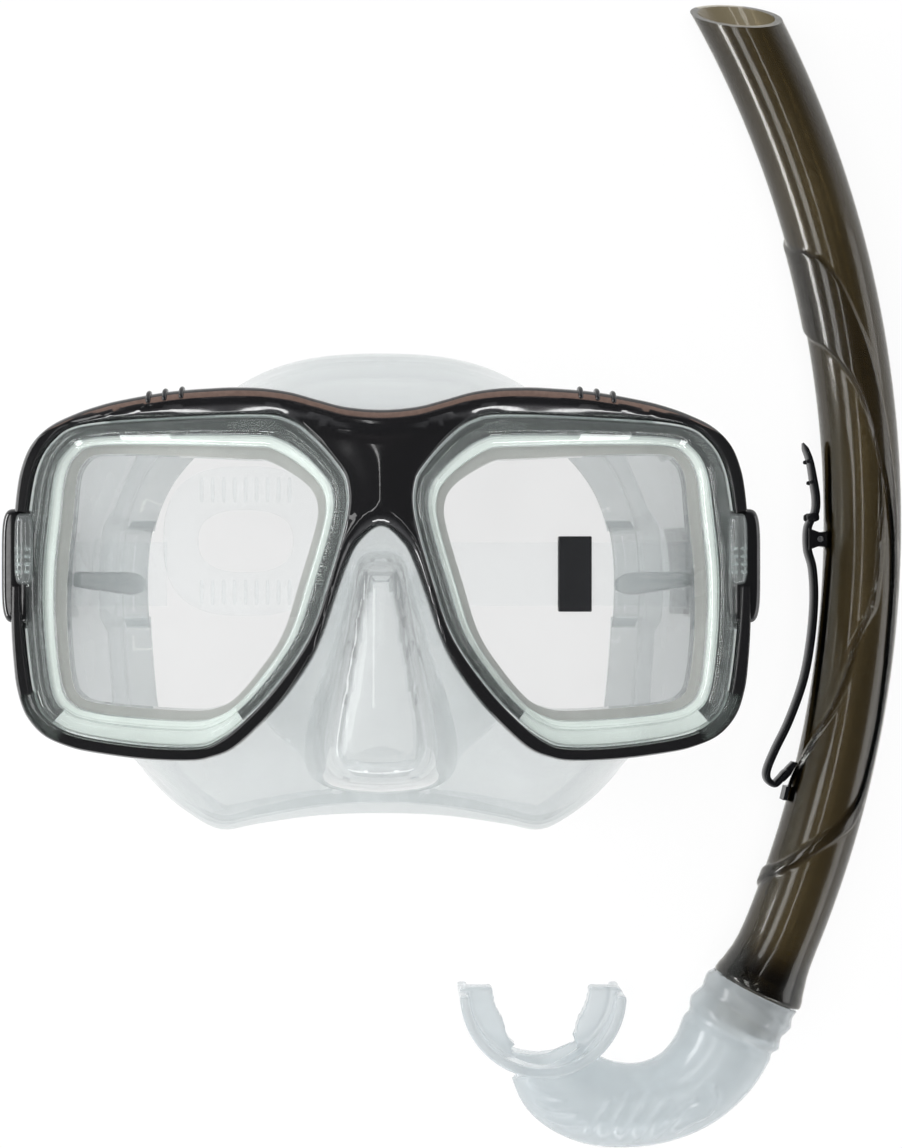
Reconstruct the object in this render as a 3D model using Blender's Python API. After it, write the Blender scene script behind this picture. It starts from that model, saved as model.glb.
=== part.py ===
"""Twin-lens dive mask lying on its face seal, with its J-shaped snorkel on its side next to it.

Frame of the model: +X to the wearer's left as seen from the front, +Y towards the forehead and
+Z out through the lenses. The set stands on the plane Z = 0. Outlines below are in millimetres,
measured from the mask's own centre line, and every object is scaled to metres as it is made.
"""
import math

import bmesh
import bpy
from mathutils import Matrix, Vector

MM = 0.001

# Where the mask's centre line and the snorkel's plane stand in the model
SET_ORIGIN = (-23.27, -1.39, 0.0)
GAP = 0.3

# Heights above the table, at the middle of the nose bridge
FRAME_BACK = 61.0
FRAME_FRONT = 78.0
WEB_FRONT = FRAME_BACK - GAP
WALL = 1.8
COLLAR_TOP = 68.6
LENS_BACK = 69.0
LENS_FRONT = 72.0
RIM_BACK = 68.9
RIM_FRONT = 77.3

# The frame sweeps back towards the temples, in a straight slope outside the nose bridge
SWEEP_SLOPE = 0.105
BRIDGE_HALF = 8.0

# Frame outline, right half, from the forehead dip round the lens and up the nose arch
FRAME_HALF = [
    (0, 39.7), (9, 39.9), (17, 41.9), (25, 44.3), (33, 45.0), (48, 44.2), (60, 41.9), (73, 38.9),
    (80.5, 34.8), (85.1, 27.5), (87.8, 16), (89.6, 2), (89.6, -20), (88.6, -30), (85.7, -35.8),
    (80, -39.5), (70, -42.3), (58, -44.1), (46.5, -44.9), (39.6, -43.4), (30.8, -37.1),
    (23.5, -29.2), (16.6, -21), (12.6, -10), (9.6, -1), (6.2, 6.6), (0, 11.3),
]

# Outer edge of the bezel and the window inside it, point for point
RIM_OUTER = [
    (54, 37.6), (30, 38.5), (22, 37.2), (16.5, 33.2), (11, 27), (8.4, 22.2), (8.4, 14),
    (12.8, -2), (17.5, -15.5), (25.5, -27), (33.5, -35.4), (39.5, -39.9), (45, -41.6),
    (57, -41.0), (72, -38.9), (79.5, -36), (83.7, -30), (86, -15), (86.8, 0), (84.8, 15),
    (82.6, 25.5), (79, 32), (72.5, 35.9),
]
RIM_WINDOW = [
    (54, 31.6), (32, 31.0), (26.5, 30.4), (20.5, 27), (15.8, 22.8), (13.7, 18.8), (13.9, 12.5),
    (18.2, -2.5), (22.4, -15), (29.2, -25.2), (35.6, -32.2), (40.6, -35.0), (45.5, -35.9),
    (56.5, -35.5), (69.5, -34.2), (75.6, -32.2), (78.6, -27.5), (80.2, -14), (80.3, 0),
    (78.9, 14), (77.7, 24), (75.2, 29), (70.3, 31.4),
]
LENS_EDGE = 0.42
GASKET_EDGE = 1.35

# Face skirt: its front edge behind the frame and its rear edge on the face, point for point
SKIRT_FRONT = [
    (0, 37), (16, 39), (33, 42.2), (56, 39.8), (72, 35.5), (79.5, 25), (81.5, 2), (81.2, -20),
    (78.5, -33), (69, -39), (57, -41.5), (46, -42), (33.5, -35.5), (23, -24), (13, -4), (0, 12.2),
]
SKIRT_REAR = [
    (0, 60.7), (20, 59.2), (36, 53.5), (52, 42), (63, 30), (69, 17), (71.3, 2), (70.8, -18),
    (69, -38), (66.4, -51.3), (60.7, -59), (53, -65.6), (44, -70.3), (33.5, -68.8), (17, -66.6),
    (0, -66),
]
SKIRT_LEVELS = [0.0, 2.0, 6.0, 14.0, 24.0, 36.0, 48.0, WEB_FRONT]
SEAL_WIDTH = 8.0
STRAP_RELIEF = 4.4

# Nose pocket: height, then half outline from the bridge down to the tip
NOSE_SECTIONS = [
    (8.0, [(0, 8), (7, 5), (12, -8), (17, -23), (20.8, -36), (21.5, -47), (19.5, -54.5),
           (13, -58), (0, -59)]),
    (40.0, [(0, 7), (6.5, 4.5), (10.5, -8), (14.5, -22), (18, -36), (19, -46), (17, -52.5),
            (11.5, -55.5), (0, -56.5)]),
    (60.0, [(0, 5.5), (5.5, 3.5), (8.8, -8), (12, -22), (15.2, -36), (16.2, -44.5),
            (14.5, -49.8), (10, -52.5), (0, -53.5)]),
    (72.0, [(0, 3), (5, 1.5), (7, -8), (9.5, -22), (12.2, -36), (13, -43), (11.5, -47.5),
            (8, -49.8), (0, -50.5)]),
    (75.5, [(0, 1), (4, 0), (5.6, -8), (7.8, -22), (10.3, -36), (11, -42), (9.6, -45.5),
            (6.5, -47.3), (0, -48)]),
]

# Latch tabs that lock the bezels at the temples
LATCH_X = (84.2, 88.9)
LATCH_Y = (-2.6, 14.8)
LATCH_Z = (74.8, 78.6)

# Strap buckles behind the temples, right-hand side
PIN_AT = (87.5, 47.5)
ROLLER_AT = (87.5, 34.0)
LEVER_AT = (90.2, 42.5)
EAR_Y = (11.6, 13.6)
CHEEK_Y = (9.2, 11.2)
ROLLER_HALF = 8.9
ROLLER_R = 1.9
STRAP_T = 1.4
STRAP_Z = 2.3
STRAP_HALF = 8.7
KEEPER_X = 53.0

# Snorkel: an arc of a circle lying in a plane, tilted so that both ends touch the table
TUBE_CENTRE = (-162.4, 14.7)
TUBE_BEND_R = 292.0
TUBE_FROM = math.radians(-25.6)
TUBE_TO = math.radians(29.5)
TUBE_R = 10.25
TUBE_BORE_R = 8.6
SHOULDER_R = 12.4
SPIGOT_R = 10.1
SPIGOT_LENGTH = 11.0
MOUTH_AT, MOUTH_CUT_TILT = (96.0, 150.7), math.radians(29.3)
SNORKEL_HEIGHT = 13.5
SNORKEL_TILT = math.radians(-0.69)
SNORKEL_PIVOT_Y = -112.0
BITE_CENTRE = (42.8, -111.0)
BITE_R = 22.0
BITE_HALF_HEIGHT = 12.6
BOSS_AT = (117.4, 9.3)
TUBE_SIDES = 16


# ---------------------------------------------------------------- outlines

def smooth_loop(points, steps):
    """Closed smooth curve through the points, with the given steps between neighbours."""
    knots = [Vector(p) for p in points]
    count = len(knots)
    loop = []
    for i in range(count):
        a, b, c, d = (knots[(i + k) % count] for k in (-1, 0, 1, 2))
        for step in range(steps):
            t = step / steps
            loop.append(0.5 * (2 * b + (c - a) * t + (2 * a - 5 * b + 4 * c - d) * t ** 2
                               + (3 * b - a - 3 * c + d) * t ** 3))
    return loop


def smooth_path(points, steps):
    """Open smooth curve through the points."""
    knots = [Vector(p) for p in points]
    knots = [2 * knots[0] - knots[1]] + knots + [2 * knots[-1] - knots[-2]]
    path = []
    for a, b, c, d in zip(knots, knots[1:], knots[2:], knots[3:]):
        for step in range(steps):
            t = step / steps
            path.append(0.5 * (2 * b + (c - a) * t + (2 * a - 5 * b + 4 * c - d) * t ** 2
                               + (3 * b - a - 3 * c + d) * t ** 3))
    path.append(knots[-2].copy())
    return path


def mirrored(half):
    """Whole outline from its right half, whose first and last points are on the centre line."""
    return half + [(-x, y) for x, y in reversed(half[1:-1])]


def offset(loop, distance):
    """The loop moved outward by a distance, or inward by a negative one."""
    area = sum(a.x * b.y - b.x * a.y for a, b in zip(loop, loop[1:] + loop[:1]))
    side = math.copysign(1.0, area)
    moved = []
    for before, point, after in zip(loop[-1:] + loop[:-1], loop, loop[1:] + loop[:1]):
        along = (after - before).normalized()
        moved.append(point + side * distance * Vector((along.y, -along.x)))
    return moved


def between(first, second, share):
    """Point-by-point mix of two loops."""
    return [a.lerp(b, share) for a, b in zip(first, second)]


def at_height(loop, z):
    return [(p[0], p[1], z) for p in loop]


def arc(centre, radius, start, end, count):
    """Points on an arc, angles in degrees."""
    angles = [math.radians(start + (end - start) * i / (count - 1)) for i in range(count)]
    return [(centre[0] + radius * math.cos(a), centre[1] + radius * math.sin(a)) for a in angles]


# ---------------------------------------------------------------- solids

def solid_from(bm, name):
    """Object from a bmesh in millimetres, with its faces turned outward."""
    bmesh.ops.recalc_face_normals(bm, faces=bm.faces[:])
    bmesh.ops.scale(bm, vec=(MM, MM, MM), verts=bm.verts[:])
    mesh = bpy.data.meshes.new(name)
    bm.to_mesh(mesh)
    bm.free()
    obj = bpy.data.objects.new(name, mesh)
    bpy.context.scene.collection.objects.link(obj)
    return obj


def loft(name, rings, ring_closed=False):
    """Skin through rings of points; its ends are capped unless the rings come full circle."""
    bm = bmesh.new()
    loops = [[bm.verts.new(p) for p in ring] for ring in rings]
    pairs = list(zip(loops, loops[1:]))
    if ring_closed:
        pairs.append((loops[-1], loops[0]))
    for lower, upper in pairs:
        for i in range(len(lower)):
            j = (i + 1) % len(lower)
            bm.faces.new((lower[i], lower[j], upper[j], upper[i]))
    if not ring_closed:
        bm.faces.new(loops[0])
        bm.faces.new(loops[-1])
    return solid_from(bm, name)


def prism(name, loop, low, high):
    """Upright prism over a loop in the XY plane."""
    return loft(name, [at_height(loop, low), at_height(loop, high)])


def cross_prism(name, profile, y_from, y_to):
    """Prism along Y over a profile in the XZ plane."""
    return loft(name, [[(x, y, z) for x, z in profile] for y in (y_from, y_to)])


def box(name, low, high):
    """Rectangular block between two corners."""
    corners = [(low[0], low[1]), (high[0], low[1]), (high[0], high[1]), (low[0], high[1])]
    return prism(name, corners, low[2], high[2])


def rod_y(name, centre_xz, radius, y_from, y_to, sides=16):
    """Round bar along Y."""
    circle = arc(centre_xz, radius, 0, 360 - 360 / sides, sides)
    return cross_prism(name, circle, y_from, y_to)


def evaluated_mesh(obj):
    graph = bpy.context.evaluated_depsgraph_get()
    return bpy.data.meshes.new_from_object(obj.evaluated_get(graph))


def combine(target, tool, operation):
    """Boolean of two objects; the tool is used up."""
    modifier = target.modifiers.new(operation.lower(), "BOOLEAN")
    modifier.operation = operation
    modifier.solver = "EXACT"
    modifier.object = tool
    mesh = evaluated_mesh(target)
    target.modifiers.clear()
    target.data = mesh
    bpy.data.objects.remove(tool)
    return target


def cut(target, *tools):
    for tool in tools:
        combine(target, tool, "DIFFERENCE")
    return target


def join(target, *tools):
    for tool in tools:
        combine(target, tool, "UNION")
    return target


def sweep_of(x):
    """How far the swept frame lies below its bridge at a distance from the centre line."""
    if abs(x) < BRIDGE_HALF:
        return SWEEP_SLOPE * x * x / (2 * BRIDGE_HALF)
    return SWEEP_SLOPE * (abs(x) - BRIDGE_HALF / 2)


def sweep_back(obj):
    """Shears the mask's pieces back towards the temples; the rear edge of the skirt stays flat."""
    bm = bmesh.new()
    bm.from_mesh(obj.data)
    for x in (-BRIDGE_HALF, -BRIDGE_HALF / 2, 0.0, BRIDGE_HALF / 2, BRIDGE_HALF):
        bmesh.ops.bisect_plane(bm, geom=bm.verts[:] + bm.edges[:] + bm.faces[:],
                               plane_co=(x * MM, 0, 0), plane_no=(1, 0, 0), dist=1e-7)
    bmesh.ops.triangulate(bm, faces=bm.faces[:])
    for vert in bm.verts:
        share = min(max(vert.co.z / (FRAME_BACK * MM), 0.0), 1.0)
        vert.co.z -= share * sweep_of(vert.co.x / MM) * MM
    bm.to_mesh(obj.data)
    bm.free()
    return obj


def set_pivot(obj, point):
    """Puts the object's origin on a point given in millimetres."""
    pivot = Vector(point) * MM
    obj.data.transform(Matrix.Translation(-pivot))
    obj.location = pivot
    return obj


def flip_side(obj, name):
    """Mirror image of a right-hand piece, as its own object."""
    mesh = obj.data.copy()
    mesh.transform(Matrix.Diagonal((-1, 1, 1, 1)))
    mesh.flip_normals()
    twin = bpy.data.objects.new(name, mesh)
    bpy.context.scene.collection.objects.link(twin)
    twin.location = (-obj.location.x, obj.location.y, obj.location.z)
    return twin


# ---------------------------------------------------------------- the mask

def rim_loops():
    return smooth_loop(RIM_OUTER, 2), smooth_loop(RIM_WINDOW, 2)


def latch_pocket(name):
    """Room for the latch tab in the bezel and the frame, open to the front and the side."""
    low = (LATCH_X[0] - GAP, LATCH_Y[0] - GAP, LATCH_Z[0] - GAP)
    high = (LATCH_X[1] + 6, LATCH_Y[1] + GAP, LATCH_Z[1] + 6)
    return box(name, low, high)


def both_sides(make, name):
    """A right-hand tool and its mirror image."""
    right = make(name)
    left = flip_side(right, name + "_left")
    return right, left


def temple_ears(name):
    """Lugs behind the temple that hold the buckle's pin, and the swelling above them."""
    x, z = PIN_AT
    profile = [(x - 3.0, 53.5), (x - 3.0, z)] + arc(PIN_AT, 3.0, 200, 340, 8)
    profile += [(x + 3.0, z), (x + 3.0, 53.5)]
    swelling = box(name, (82.5, -13.6, 51.2), (90.6, 13.6, 62.0))
    for side in (-1, 1):
        y_from, y_to = sorted((side * EAR_Y[0], side * EAR_Y[1]))
        ear = cross_prism(name + "_ear", profile, y_from, y_to)
        hole = rod_y(name + "_hole", PIN_AT, 1.4, y_from - 1, y_to + 1)
        cut(ear, hole)
        join(swelling, ear)
    return swelling


def make_frame():
    """Black front moulding with rounded edges, two lens openings and the nose arch."""
    outline = smooth_loop(mirrored(FRAME_HALF), 2)
    section = [(FRAME_BACK, -1.0), (FRAME_BACK + 1.4, 0.0), (FRAME_FRONT - 4.5, 0.0),
               (FRAME_FRONT - 1.6, -1.0), (FRAME_FRONT, -2.8)]
    frame = loft("frame", [at_height(offset(outline, d), z) for z, d in section])
    outer, _ = rim_loops()
    hole = offset(outer, GAP)
    through = both_sides(lambda n: prism(n, hole, FRAME_BACK - 5, FRAME_FRONT + 5), "hole")
    cut(frame, *through)
    cut(frame, *both_sides(latch_pocket, "pocket"))
    sweep_back(frame)

    def lugs(name):
        part = temple_ears(name)
        wider = offset(hole, 0.2)
        shaft = sweep_back(prism(name + "_shaft", wider, FRAME_BACK - 2.6, FRAME_FRONT))
        return cut(part, shaft)

    return join(frame, *both_sides(lugs, "lugs"))


def make_rim():
    """Clear bezel: a ring over the lens's edge with a wall down round it."""
    outer, window = rim_loops()
    section = [
        (0.0, RIM_BACK), (0.0, RIM_FRONT - 1.2), (0.16, RIM_FRONT), (0.5, RIM_FRONT - 0.2),
        (0.9, RIM_FRONT - 1.6), (1.0, RIM_FRONT - 2.6), (1.0, LENS_FRONT + GAP),
        (0.36, LENS_FRONT + GAP), (0.36, RIM_BACK),
    ]
    rings = [at_height(between(outer, window, share), z) for share, z in section]
    rim = loft("rim_right", rings, ring_closed=True)
    cut(rim, latch_pocket("pocket"))
    return sweep_back(rim)


def make_lens():
    """Flat pane with ground edges."""
    outer, window = rim_loops()
    section = [(LENS_BACK, 0.46), (LENS_BACK + 0.3, LENS_EDGE), (LENS_FRONT - 0.3, LENS_EDGE),
               (LENS_FRONT, 0.46)]
    rings = [at_height(between(outer, window, share), z) for z, share in section]
    return sweep_back(loft("lens_right", rings))


def make_latch():
    """Ribbed tab that turns outward about its lower outer edge."""
    low = (LATCH_X[0], LATCH_Y[0], LATCH_Z[0])
    high = (LATCH_X[1], LATCH_Y[1], LATCH_Z[1])
    latch = box("latch_right", low, high)
    bevel = latch.modifiers.new("edges", "BEVEL")
    bevel.width = 0.8 * MM
    bevel.segments = 2
    latch.data = evaluated_mesh(latch)
    latch.modifiers.clear()
    for i in range(4):
        y = 1.6 + i * 2.1
        ridge = box("ridge", (85.2, y, LATCH_Z[1] - 0.6), (88.4, y + 0.9, LATCH_Z[1] + 0.45))
        join(latch, ridge)
    sweep_back(latch)
    return set_pivot(latch, (89.0, 6.1, LATCH_Z[0] - sweep_of(89.0)))


def skirt_ring(level, inset=0.0):
    """Section of the face skirt at a height, between its front and its rear outline."""
    front = smooth_loop(mirrored(SKIRT_FRONT), 2)
    rear = smooth_loop(mirrored(SKIRT_REAR), 2)
    share = (1.0 - level / WEB_FRONT) ** 0.85
    return offset(between(front, rear, share), -inset)


def nose_rings(inset):
    """Sections of the nose pocket, or of its hollow when inset."""
    rings = []
    for height, half in NOSE_SECTIONS:
        z = height - (inset if height > 70 else 0.0)
        rings.append(at_height(offset(smooth_loop(mirrored(half), 2), -inset), z))
    return rings


def make_skirt():
    """Silicone skirt: wall from the frame to the face, lens collars, nose pocket and seal lip."""
    skirt = loft("skirt", [at_height(skirt_ring(z), z) for z in SKIRT_LEVELS])
    join(skirt, loft("nose", nose_rings(0.0)))
    outer, window = rim_loops()
    collar = between(outer, window, 0.03)
    collars = both_sides(lambda n: prism(n, collar, WEB_FRONT - 2.0, COLLAR_TOP), "collar")
    join(skirt, *collars)

    inner_levels = [WALL] + SKIRT_LEVELS[2:-1] + [WEB_FRONT - WALL]
    hollow = loft("hollow", [at_height(skirt_ring(z, WALL), z) for z in inner_levels])
    nose_hollow = loft("nose_hollow", nose_rings(WALL))
    mouth = prism("mouth", skirt_ring(0.0, SEAL_WIDTH), -2.0, WALL + 2.0)
    aperture = between(outer, window, GASKET_EDGE)
    panes = both_sides(lambda n: prism(n, aperture, WEB_FRONT - 4.0, COLLAR_TOP + 3.0), "pane")
    cut(skirt, join(hollow, nose_hollow, mouth))
    cut(skirt, *panes)
    half = STRAP_HALF + 3.0
    cut(skirt, box("relief", (-100, -half, -2.0), (100, half, STRAP_RELIEF)))
    return sweep_back(skirt)


def make_buckle():
    """Fork that swings on the temple's pin and carries the roller and the lever."""
    profile = arc(PIN_AT, 3.0, 20, 160, 7)
    profile += [(83.9, 40.0), (84.4, 34.0)] + arc(ROLLER_AT, 3.2, 200, 300, 6)
    profile += [(91.0, 34.5), (91.4, 40.5), (91.3, 44.0)]
    body = box("buckle_body_right", (84.6, -CHEEK_Y[1] + 0.5, 42.7), (88.0, CHEEK_Y[1] - 0.5, 44.6))
    for side in (-1, 1):
        y_from, y_to = sorted((side * CHEEK_Y[0], side * CHEEK_Y[1]))
        cheek = cross_prism("cheek", profile, y_from, y_to)
        for at, radius in ((PIN_AT, 1.4), (ROLLER_AT, 1.3), (LEVER_AT, 1.1)):
            cut(cheek, rod_y("bore", at, radius, y_from - 1, y_to + 1, 12))
        join(body, cheek)
    return set_pivot(body, (PIN_AT[0], 0, PIN_AT[1]))


def make_roller():
    roller = rod_y("strap_roller_right", ROLLER_AT, ROLLER_R, -ROLLER_HALF, ROLLER_HALF, 16)
    join(roller, rod_y("axle", ROLLER_AT, 1.0, -CHEEK_Y[1], CHEEK_Y[1], 12))
    return set_pivot(roller, (ROLLER_AT[0], 0, ROLLER_AT[1]))


def make_lever():
    """Flap outside the strap's tail, turning on its own pin between the cheeks."""
    x, z = LEVER_AT
    profile = arc(LEVER_AT, 1.8, 20, 250, 10)
    profile += [(x + 1.5, z - 3.0), (x + 1.4, 27.0), (x + 2.2, 25.4), (x + 3.1, 27.0),
                (x + 3.0, z + 0.3)]
    lever = cross_prism("release_lever_right", profile, -ROLLER_HALF, ROLLER_HALF)
    cut(lever, rod_y("bore", LEVER_AT, 1.1, -10, 10, 12))
    return set_pivot(lever, (x, 0, z))


def strap_section(place, along, half_width, y_middle):
    """Four corners of the strap's section at a place on its path in the XZ plane."""
    across = Vector((-along.y, along.x)) * (STRAP_T / 2)
    corners = []
    for y, side in ((-half_width, -1), (half_width, -1), (half_width, 1), (-half_width, 1)):
        spot = place + side * across
        corners.append((spot.x, y_middle + y, spot.y))
    return corners


def make_strap():
    """Strap from one roller, down to the table, across behind the mask and up to the other."""
    x, z = ROLLER_AT
    turn_r = ROLLER_R + GAP + STRAP_T / 2
    turn = arc(ROLLER_AT, turn_r, 0, 180, 9)
    limb = smooth_path([(x - turn_r, z), (84.0, 25.0), (82.3, 14.0), (78.5, 6.0), (71.5, STRAP_Z),
                        (62.5, STRAP_Z)], 4)
    side = [Vector((x + turn_r, 21.0))] + [Vector(p) for p in turn] + limb[1:]
    back = [Vector((48.0, STRAP_Z)), Vector((30.0, STRAP_Z)), Vector((0.0, STRAP_Z))]
    left = [Vector((-p.x, p.y)) for p in reversed(side)]
    pad = [Vector((px, STRAP_Z)) for px in (-14.0, -20.0, -27.0, -50.0, -56.0)]
    path = side + back + pad + left
    rings = []
    for before, place, after in zip([path[0]] + path[:-1], path, path[1:] + [path[-1]]):
        on_pad = place in pad[1:4]
        half_width = 21.0 if on_pad else STRAP_HALF
        y_middle = 9.0 if on_pad else 0.0
        rings.append(strap_section(place, (after - before).normalized(), half_width, y_middle))
    return loft("strap", rings)


def make_keeper_loop():
    """Loop round the strap that holds its tail."""
    half_y = STRAP_HALF + GAP
    low, high = STRAP_Z - STRAP_T / 2 - GAP, STRAP_Z + STRAP_T / 2 + GAP
    loop = box("strap_keeper", (KEEPER_X - 4.5, -half_y - 1.3, low - 1.1),
               (KEEPER_X + 4.5, half_y + 1.3, high + 1.1))
    slot = box("slot", (KEEPER_X - 9, -half_y, low), (KEEPER_X + 9, half_y, high))
    return set_pivot(cut(loop, slot), (KEEPER_X, 0, STRAP_Z))


# ---------------------------------------------------------------- the snorkel

def arc_point(angle):
    """Place and directions on the tube's centre line at an angle round its bend."""
    outward = Vector((math.cos(angle), math.sin(angle), 0))
    along = Vector((-math.sin(angle), math.cos(angle), 0))
    place = Vector((TUBE_CENTRE[0], TUBE_CENTRE[1], 0)) + outward * TUBE_BEND_R
    return place, outward, along


def round_ring(place, outward, in_plane, upright, sides=TUBE_SIDES):
    """Ring about a place, in the plane of the outward direction and Z."""
    ring = []
    for i in range(sides):
        a = 2 * math.pi * i / sides
        ring.append(place + outward * (in_plane * math.cos(a))
                    + Vector((0, 0, upright * math.sin(a))))
    return ring


def tube_stations():
    """Outer radius along the tube, from the spigot's end to the open top."""
    start, outward, along = arc_point(TUBE_FROM)
    stations = []
    for down, radius in ((SPIGOT_LENGTH, SPIGOT_R - 0.5), (SPIGOT_LENGTH - 1.0, SPIGOT_R),
                         (0.0, SPIGOT_R), (0.0, SHOULDER_R)):
        stations.append((start - along * down, outward, radius))
    flare = math.radians(1.6)
    for turn, radius in ((0.25, SHOULDER_R - 0.5), (1.0, TUBE_R)):
        place, outward, _ = arc_point(TUBE_FROM + flare * turn)
        stations.append((place, outward, radius))
    steps = 16
    for i in range(1, steps + 1):
        angle = TUBE_FROM + flare + (TUBE_TO - TUBE_FROM - flare) * i / steps
        place, outward, _ = arc_point(angle)
        stations.append((place, outward, TUBE_R))
    return stations


def make_tube():
    """Curved tube with a ribbed spigot, an oblique top opening and the clip's pivot boss."""
    stations = tube_stations()
    outside = [round_ring(p, o, r, r) for p, o, r in stations]
    bore = [s for i, s in enumerate(stations) if i not in (1, 3, 4)]
    inside = [round_ring(p, o, TUBE_BORE_R, TUBE_BORE_R) for p, o, _ in reversed(bore)]
    tube = loft("snorkel_tube", outside + inside, ring_closed=True)

    boss = box("boss", (BOSS_AT[0] - 1.7, BOSS_AT[1] - 2.1, -2.6), (BOSS_AT[0] + 3.2,
                                                                   BOSS_AT[1] + 2.1, 2.6))
    cut(boss, prism("bore", arc(BOSS_AT, 1.1, 0, 330, 12), -5, 5))
    join(tube, boss)

    top = Vector((*MOUTH_AT, 0))
    normal = Vector((0, math.cos(MOUTH_CUT_TILT), math.sin(MOUTH_CUT_TILT)))
    blade = box("blade", (-30, -30, 0), (30, 30, 40))
    turn = normal.to_track_quat("Z", "Y").to_matrix().to_4x4()
    blade.data.transform(Matrix.Translation(top * MM) @ turn)
    return cut(tube, blade)


def elbow_stations():
    """Centre line of the mouthpiece's elbow with its half widths in the plane and upright."""
    start, _, along = arc_point(TUBE_FROM)
    first = start - along * GAP
    points = [(first.x, first.y), (95.2, -121.2), (90.3, -130.6), (82, -138.4), (70, -142.2),
              (58, -141.6), (49.4, -137.4), (45.4, -130.0)]
    widths = [(13.3, 13.3), (13.3, 13.3), (12.7, 12.7), (11.9, 11.9), (11.3, 11.0), (11.0, 10.4),
              (10.4, 9.5), (9.8, 8.6)]
    path = smooth_path(points, 2)
    sizes = smooth_path(widths, 2)
    stations = []
    for i, (place, size) in enumerate(zip(path, sizes)):
        ahead = path[min(i + 1, len(path) - 1)] - path[max(i - 1, 0)]
        ahead.normalize()
        if i == 0:
            ahead = Vector((-along.x, -along.y))
        outward = Vector((-ahead.y, ahead.x, 0))
        stations.append((Vector((place.x, place.y, 0)), outward, size))
    return stations


def make_mouthpiece():
    """Silicone elbow that grips the spigot, with a lip shield and two bite tabs."""
    stations = elbow_stations()
    elbow = loft("mouthpiece", [round_ring(p, o, s.x, s.y) for p, o, s in stations])

    outer = arc(BITE_CENTRE, BITE_R, 178, 362, 23)
    shield = outer + arc(BITE_CENTRE, BITE_R - 2.6, 362, 178, 23)
    join(elbow, prism("shield", shield, -BITE_HALF_HEIGHT, BITE_HALF_HEIGHT))
    inner = []
    for i in range(23):
        angle = 362 - 184 * i / 22
        near_stem = math.exp(-((angle - 270) / 42) ** 6)
        inner += arc(BITE_CENTRE, 13.0 + 3.6 * near_stem, angle, angle + 1, 2)[:1]
    tabs = prism("tabs", arc(BITE_CENTRE, BITE_R - 1.0, 179, 361, 23) + inner, -3.2, 3.2)
    join(elbow, tabs)

    _, _, along = arc_point(TUBE_FROM)
    socket_r = SPIGOT_R + GAP + 0.1
    first, outward, _ = stations[0]
    socket = [round_ring(first + along * 2, outward, socket_r, socket_r),
              round_ring(first - along * (SPIGOT_LENGTH + 0.4), outward, socket_r, socket_r)]
    bore = [round_ring(p, o, s.x - 2.6, s.y - 2.6) for p, o, s in stations[1:]]
    last, outward, size = stations[-1]
    onward = Vector((outward.y, -outward.x, 0))
    bore.append(round_ring(last + onward * 8, outward, size.x - 2.6, size.y - 2.6))
    cut(elbow, loft("socket", socket), loft("bore", bore))
    return set_pivot(elbow, stations[0][0])


def make_clip():
    """Springy clip: thumb lever, two ears on the boss, long leg and hook."""
    line = smooth_path([(113.6, 35.2), (115.4, 29), (117.0, 23), (116.3, 17.5), (114.5, 12.5),
                        (114.2, 7), (115.0, -3), (114.9, -13), (113.6, -26), (110.2, -37.5),
                        (105.6, -47.3), (103.2, -53.6), (103.8, -56.9), (106.5, -57.4),
                        (108.3, -54.6), (109.6, -52.4)], 2)
    half = 0.75
    left, right = [], []
    for i, place in enumerate(line):
        ahead = (line[min(i + 1, len(line) - 1)] - line[max(i - 1, 0)]).normalized()
        side = Vector((-ahead.y, ahead.x)) * half
        left.append(place + side)
        right.append(place - side)
    clip = prism("keeper_clip", left + right[::-1], -4.8, 4.8)
    x, y = BOSS_AT
    for z in (-4.8, 3.1):
        ear = [(114.2, 12.2), (114.2, 6.4)] + arc(BOSS_AT, 1.8, -90, 90, 7)
        join(clip, prism("ear", ear, z, z + 1.7))
    cut(clip, prism("bore", arc(BOSS_AT, 1.1, 0, 330, 12), -6, 6))
    return set_pivot(clip, (x, y, 0))


def make_snorkel():
    pin = prism("keeper_pin", arc(BOSS_AT, 0.8, 0, 330, 12), -4.8, 4.8)
    peg = prism("keeper_peg", [(107.6, -60.6), (108.6, -60.6), (109.6, -56.9), (108.5, -56.9)],
                -3.0, 3.0)
    return [make_tube(), make_mouthpiece(), make_clip(), pin, peg]


# ---------------------------------------------------------------- finishes

FINISHES = {
    "black_gloss": ((0.012, 0.011, 0.011), 0.14, 0.0),
    "clear_rim": ((0.62, 0.68, 0.67), 0.08, 0.85),
    "lens_glass": ((0.93, 0.96, 0.96), 0.02, 1.0),
    "clear_silicone": ((0.86, 0.88, 0.90), 0.28, 0.7),
    "strap_silicone": ((0.80, 0.83, 0.86), 0.35, 0.6),
    "black_satin": ((0.02, 0.02, 0.022), 0.35, 0.0),
    "smoke_tube": ((0.10, 0.085, 0.05), 0.10, 0.5),
    "milky_silicone": ((0.82, 0.88, 0.93), 0.35, 0.4),
    "steel_pin": ((0.55, 0.55, 0.56), 0.3, 0.0),
}

FINISH_OF = {
    "frame": "black_gloss", "skirt": "clear_silicone", "strap": "strap_silicone",
    "strap_keeper": "black_satin", "snorkel_tube": "smoke_tube",
    "mouthpiece": "milky_silicone", "keeper_clip": "black_gloss", "keeper_pin": "steel_pin",
    "keeper_peg": "black_gloss", "lens": "lens_glass", "rim": "clear_rim",
    "latch": "clear_rim", "buckle_body": "black_satin", "buckle_pin": "steel_pin",
    "strap_roller": "black_satin", "release_lever": "black_satin", "lever_pin": "steel_pin",
}


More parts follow.
